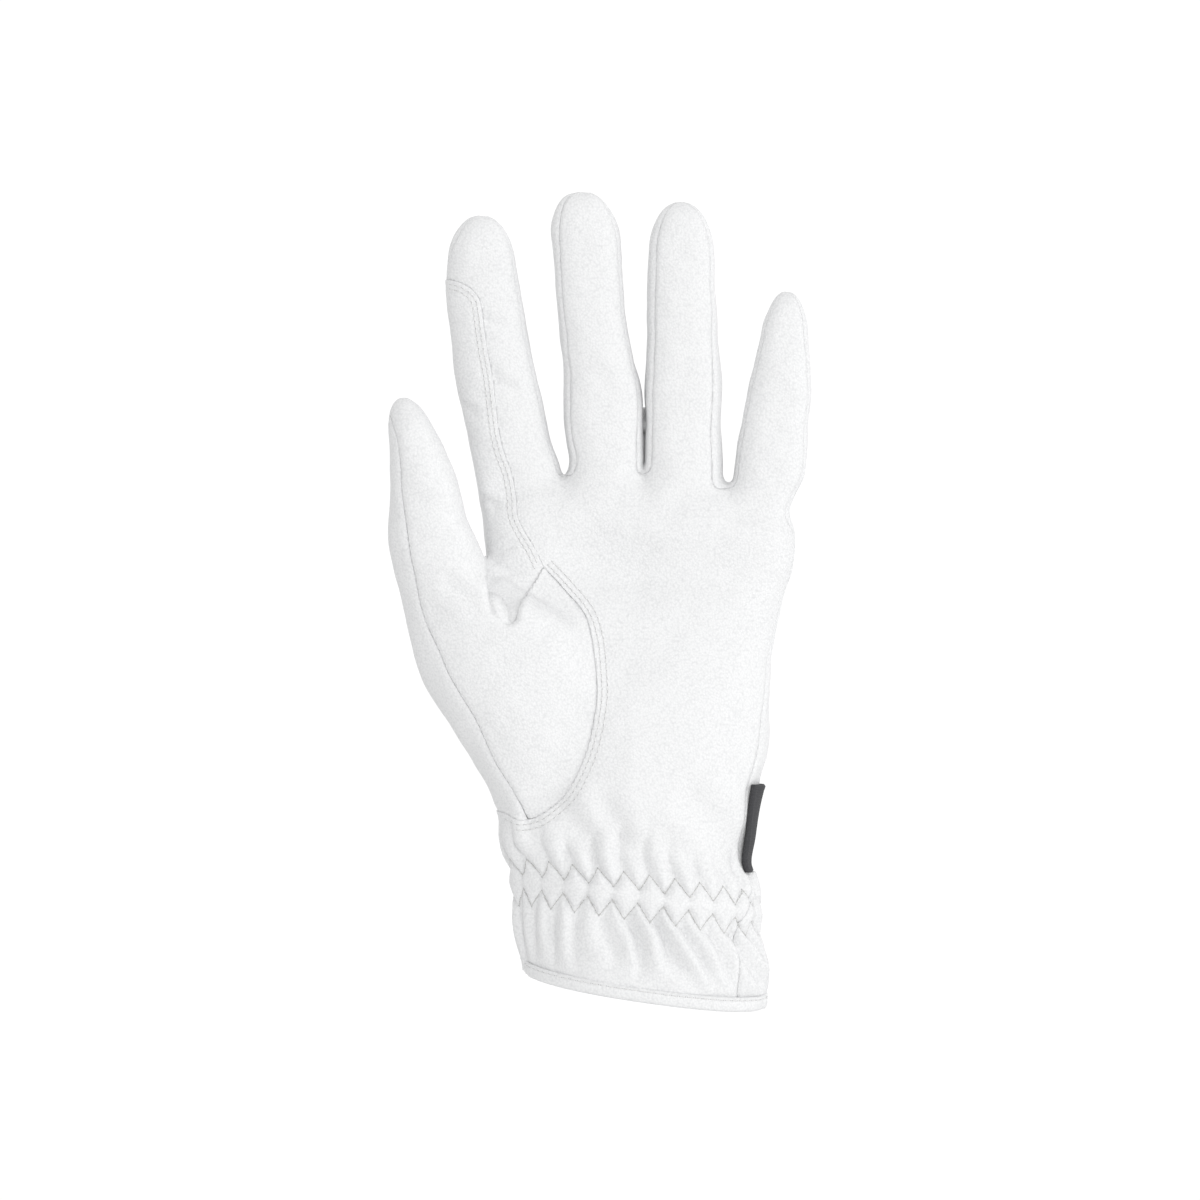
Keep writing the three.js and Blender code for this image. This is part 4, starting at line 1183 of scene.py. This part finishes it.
def threadFinish(name, colour):
    finish = Finish(bpy.data.materials.new(name))
    twist = finish.add("ShaderNodeTexNoise", {}, dict(Vector=finish.place(), Scale=4000.0, Detail=1.0))
    bump = finish.add("ShaderNodeBump", {}, dict(Strength=0.4, Distance=0.00005, Height=twist))
    shade = finish.blendColours(twist, colour, tuple(v * 0.85 for v in colour[:3]) + (1,))
    return finish.surface({"Base Color": shade, "Roughness": 0.65, "Normal": bump})


def webbingFinish(name):
    finish = Finish(bpy.data.materials.new(name))
    place = finish.place()
    ribs = finish.add("ShaderNodeTexWave", dict(wave_type="BANDS", bands_direction="Z"),
                      dict(Vector=place, Scale=420.0, Distortion=0.6))
    fuzz = finish.add("ShaderNodeTexNoise", {}, dict(Vector=place, Scale=2600.0, Detail=2.0))
    height = ribs * 0.7 + fuzz * 0.5
    bump = finish.add("ShaderNodeBump", {}, dict(Strength=0.6, Distance=0.0002, Height=height))
    colour = finish.blendColours(fuzz, (0.030, 0.030, 0.033, 1), (0.055, 0.055, 0.060, 1))
    return finish.surface({"Base Color": colour, "Roughness": 0.85, "Normal": bump})


leatherMaterial = leatherFinish("whiteLeather", whiteLeather)
bindingMaterial = leatherFinish("bindingLeather", dict(whiteLeather, roughness=0.45))
threadMaterial = threadFinish("whiteThread", (0.76, 0.76, 0.755, 1))
greyThread = threadFinish("greyThread", (0.62, 0.62, 0.605, 1))
# The needle-hole capsules are grey: painted shade, not a colour of the leather or the thread.
holeShadeMaterial = threadFinish("needleHoles", (0.42, 0.42, 0.42, 1))
webbingMaterial = webbingFinish("blackWebbing")


def dress(piece, material, slot, *nodes):
    piece.data.materials.clear()
    piece.data.materials.append(material)
    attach(piece, "root")
    if nodes:
        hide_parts(*nodes)


for name, piece in panels.items():
    dress(piece, leatherMaterial, "white_leather", cadNames[name])
for (threads, shadedHoles), material in (
    (thumbStitches, threadMaterial), (patchStitches, threadMaterial), (hemThreads, threadMaterial),
    (zigzags, greyThread),
):
    dress(threads, material, "white_leather")
    dress(shadedHoles, holeShadeMaterial, "white_leather")
dress(bindingObject, bindingMaterial, "binding_leather", "cuff_binding")
dress(strapObject, webbingMaterial, "strap_webbing", "closure_strap")
print("glove: dressed")

studio = dict(frameWidth=0.348, lookAt=(-0.01044, 0.0, 0.08265), distance=2.6, floor=-0.26, floorSize=1.3,
              brightSide=(0.4, 0.7, 0.48), skyStrength=(0.58, 1.15))


def addCamera():
    data = bpy.data.cameras.new("camera")
    data.sensor_width = 36
    data.lens = 36 * studio["distance"] / studio["frameWidth"]
    data.dof.use_dof = False
    camera = bpy.data.objects.new("camera", data)
    x, y, z = studio["lookAt"]
    camera.location = (x, y - studio["distance"], z)
    camera.rotation_euler = (math.pi / 2, 0, 0)
    bpy.context.scene.collection.objects.link(camera)
    bpy.context.scene.camera = camera


def addLamp(name, place, target, size, power):
    data = bpy.data.lights.new(name, "AREA")
    data.shape = "DISK"
    data.size = size
    data.energy = power
    lamp = bpy.data.objects.new(name, data)
    lamp.location = place
    lamp.rotation_euler = (Vector(target) - Vector(place)).to_track_quat("-Z", "Y").to_euler()
    bpy.context.scene.collection.objects.link(lamp)


def addFloor():
    size = studio["floorSize"]
    corners = [(x * size, y * size, studio["floor"]) for x, y in ((-1, -1), (1, -1), (1, 1), (-1, 1))]
    floor = meshObject("floor", np.array(corners) / mm, np.array([[0, 1, 2, 3]]), False)
    finish = Finish(bpy.data.materials.new("paleFloor"))
    fleck = finish.add("ShaderNodeTexNoise", {}, dict(Vector=finish.place(), Scale=40.0))
    colour = finish.blendColours(fleck, (0.9, 0.9, 0.9, 1), (0.88, 0.88, 0.88, 1))
    floor.data.materials.append(finish.surface({"Base Color": colour, "Roughness": 0.8}))


def setWorld():
    # soft light all round, a little stronger from the right and from above
    light = Finish(bpy.data.worlds.new("studio"))
    dim, bright = studio["skyStrength"]
    facing = light.add("ShaderNodeVectorMath", dict(operation="DOT_PRODUCT"),
                       {0: light.place("Generated"), 1: studio["brightSide"]}, "Value")
    strength = light.add("ShaderNodeMapRange", {},
                         {"Value": facing, "From Min": -1, "To Min": dim, "To Max": bright})
    background = light.add("ShaderNodeBackground", {}, dict(Color=(1, 1, 1, 1), Strength=strength))
    light.add("ShaderNodeOutputWorld", {}, dict(Surface=background))
    bpy.context.scene.world = light.owner
    bpy.context.scene.view_settings.view_transform = "Standard"
    bpy.context.scene.view_settings.look = "None"


addCamera()
addLamp("keyLamp", (0.1, -1.45, 0.4), (0, 0, 0.06), 0.25, 5.9)
addLamp("sideLamp", (1.35, -0.65, 0.1), (0, 0, 0.04), 0.5, 3.6)
addFloor()
setWorld()
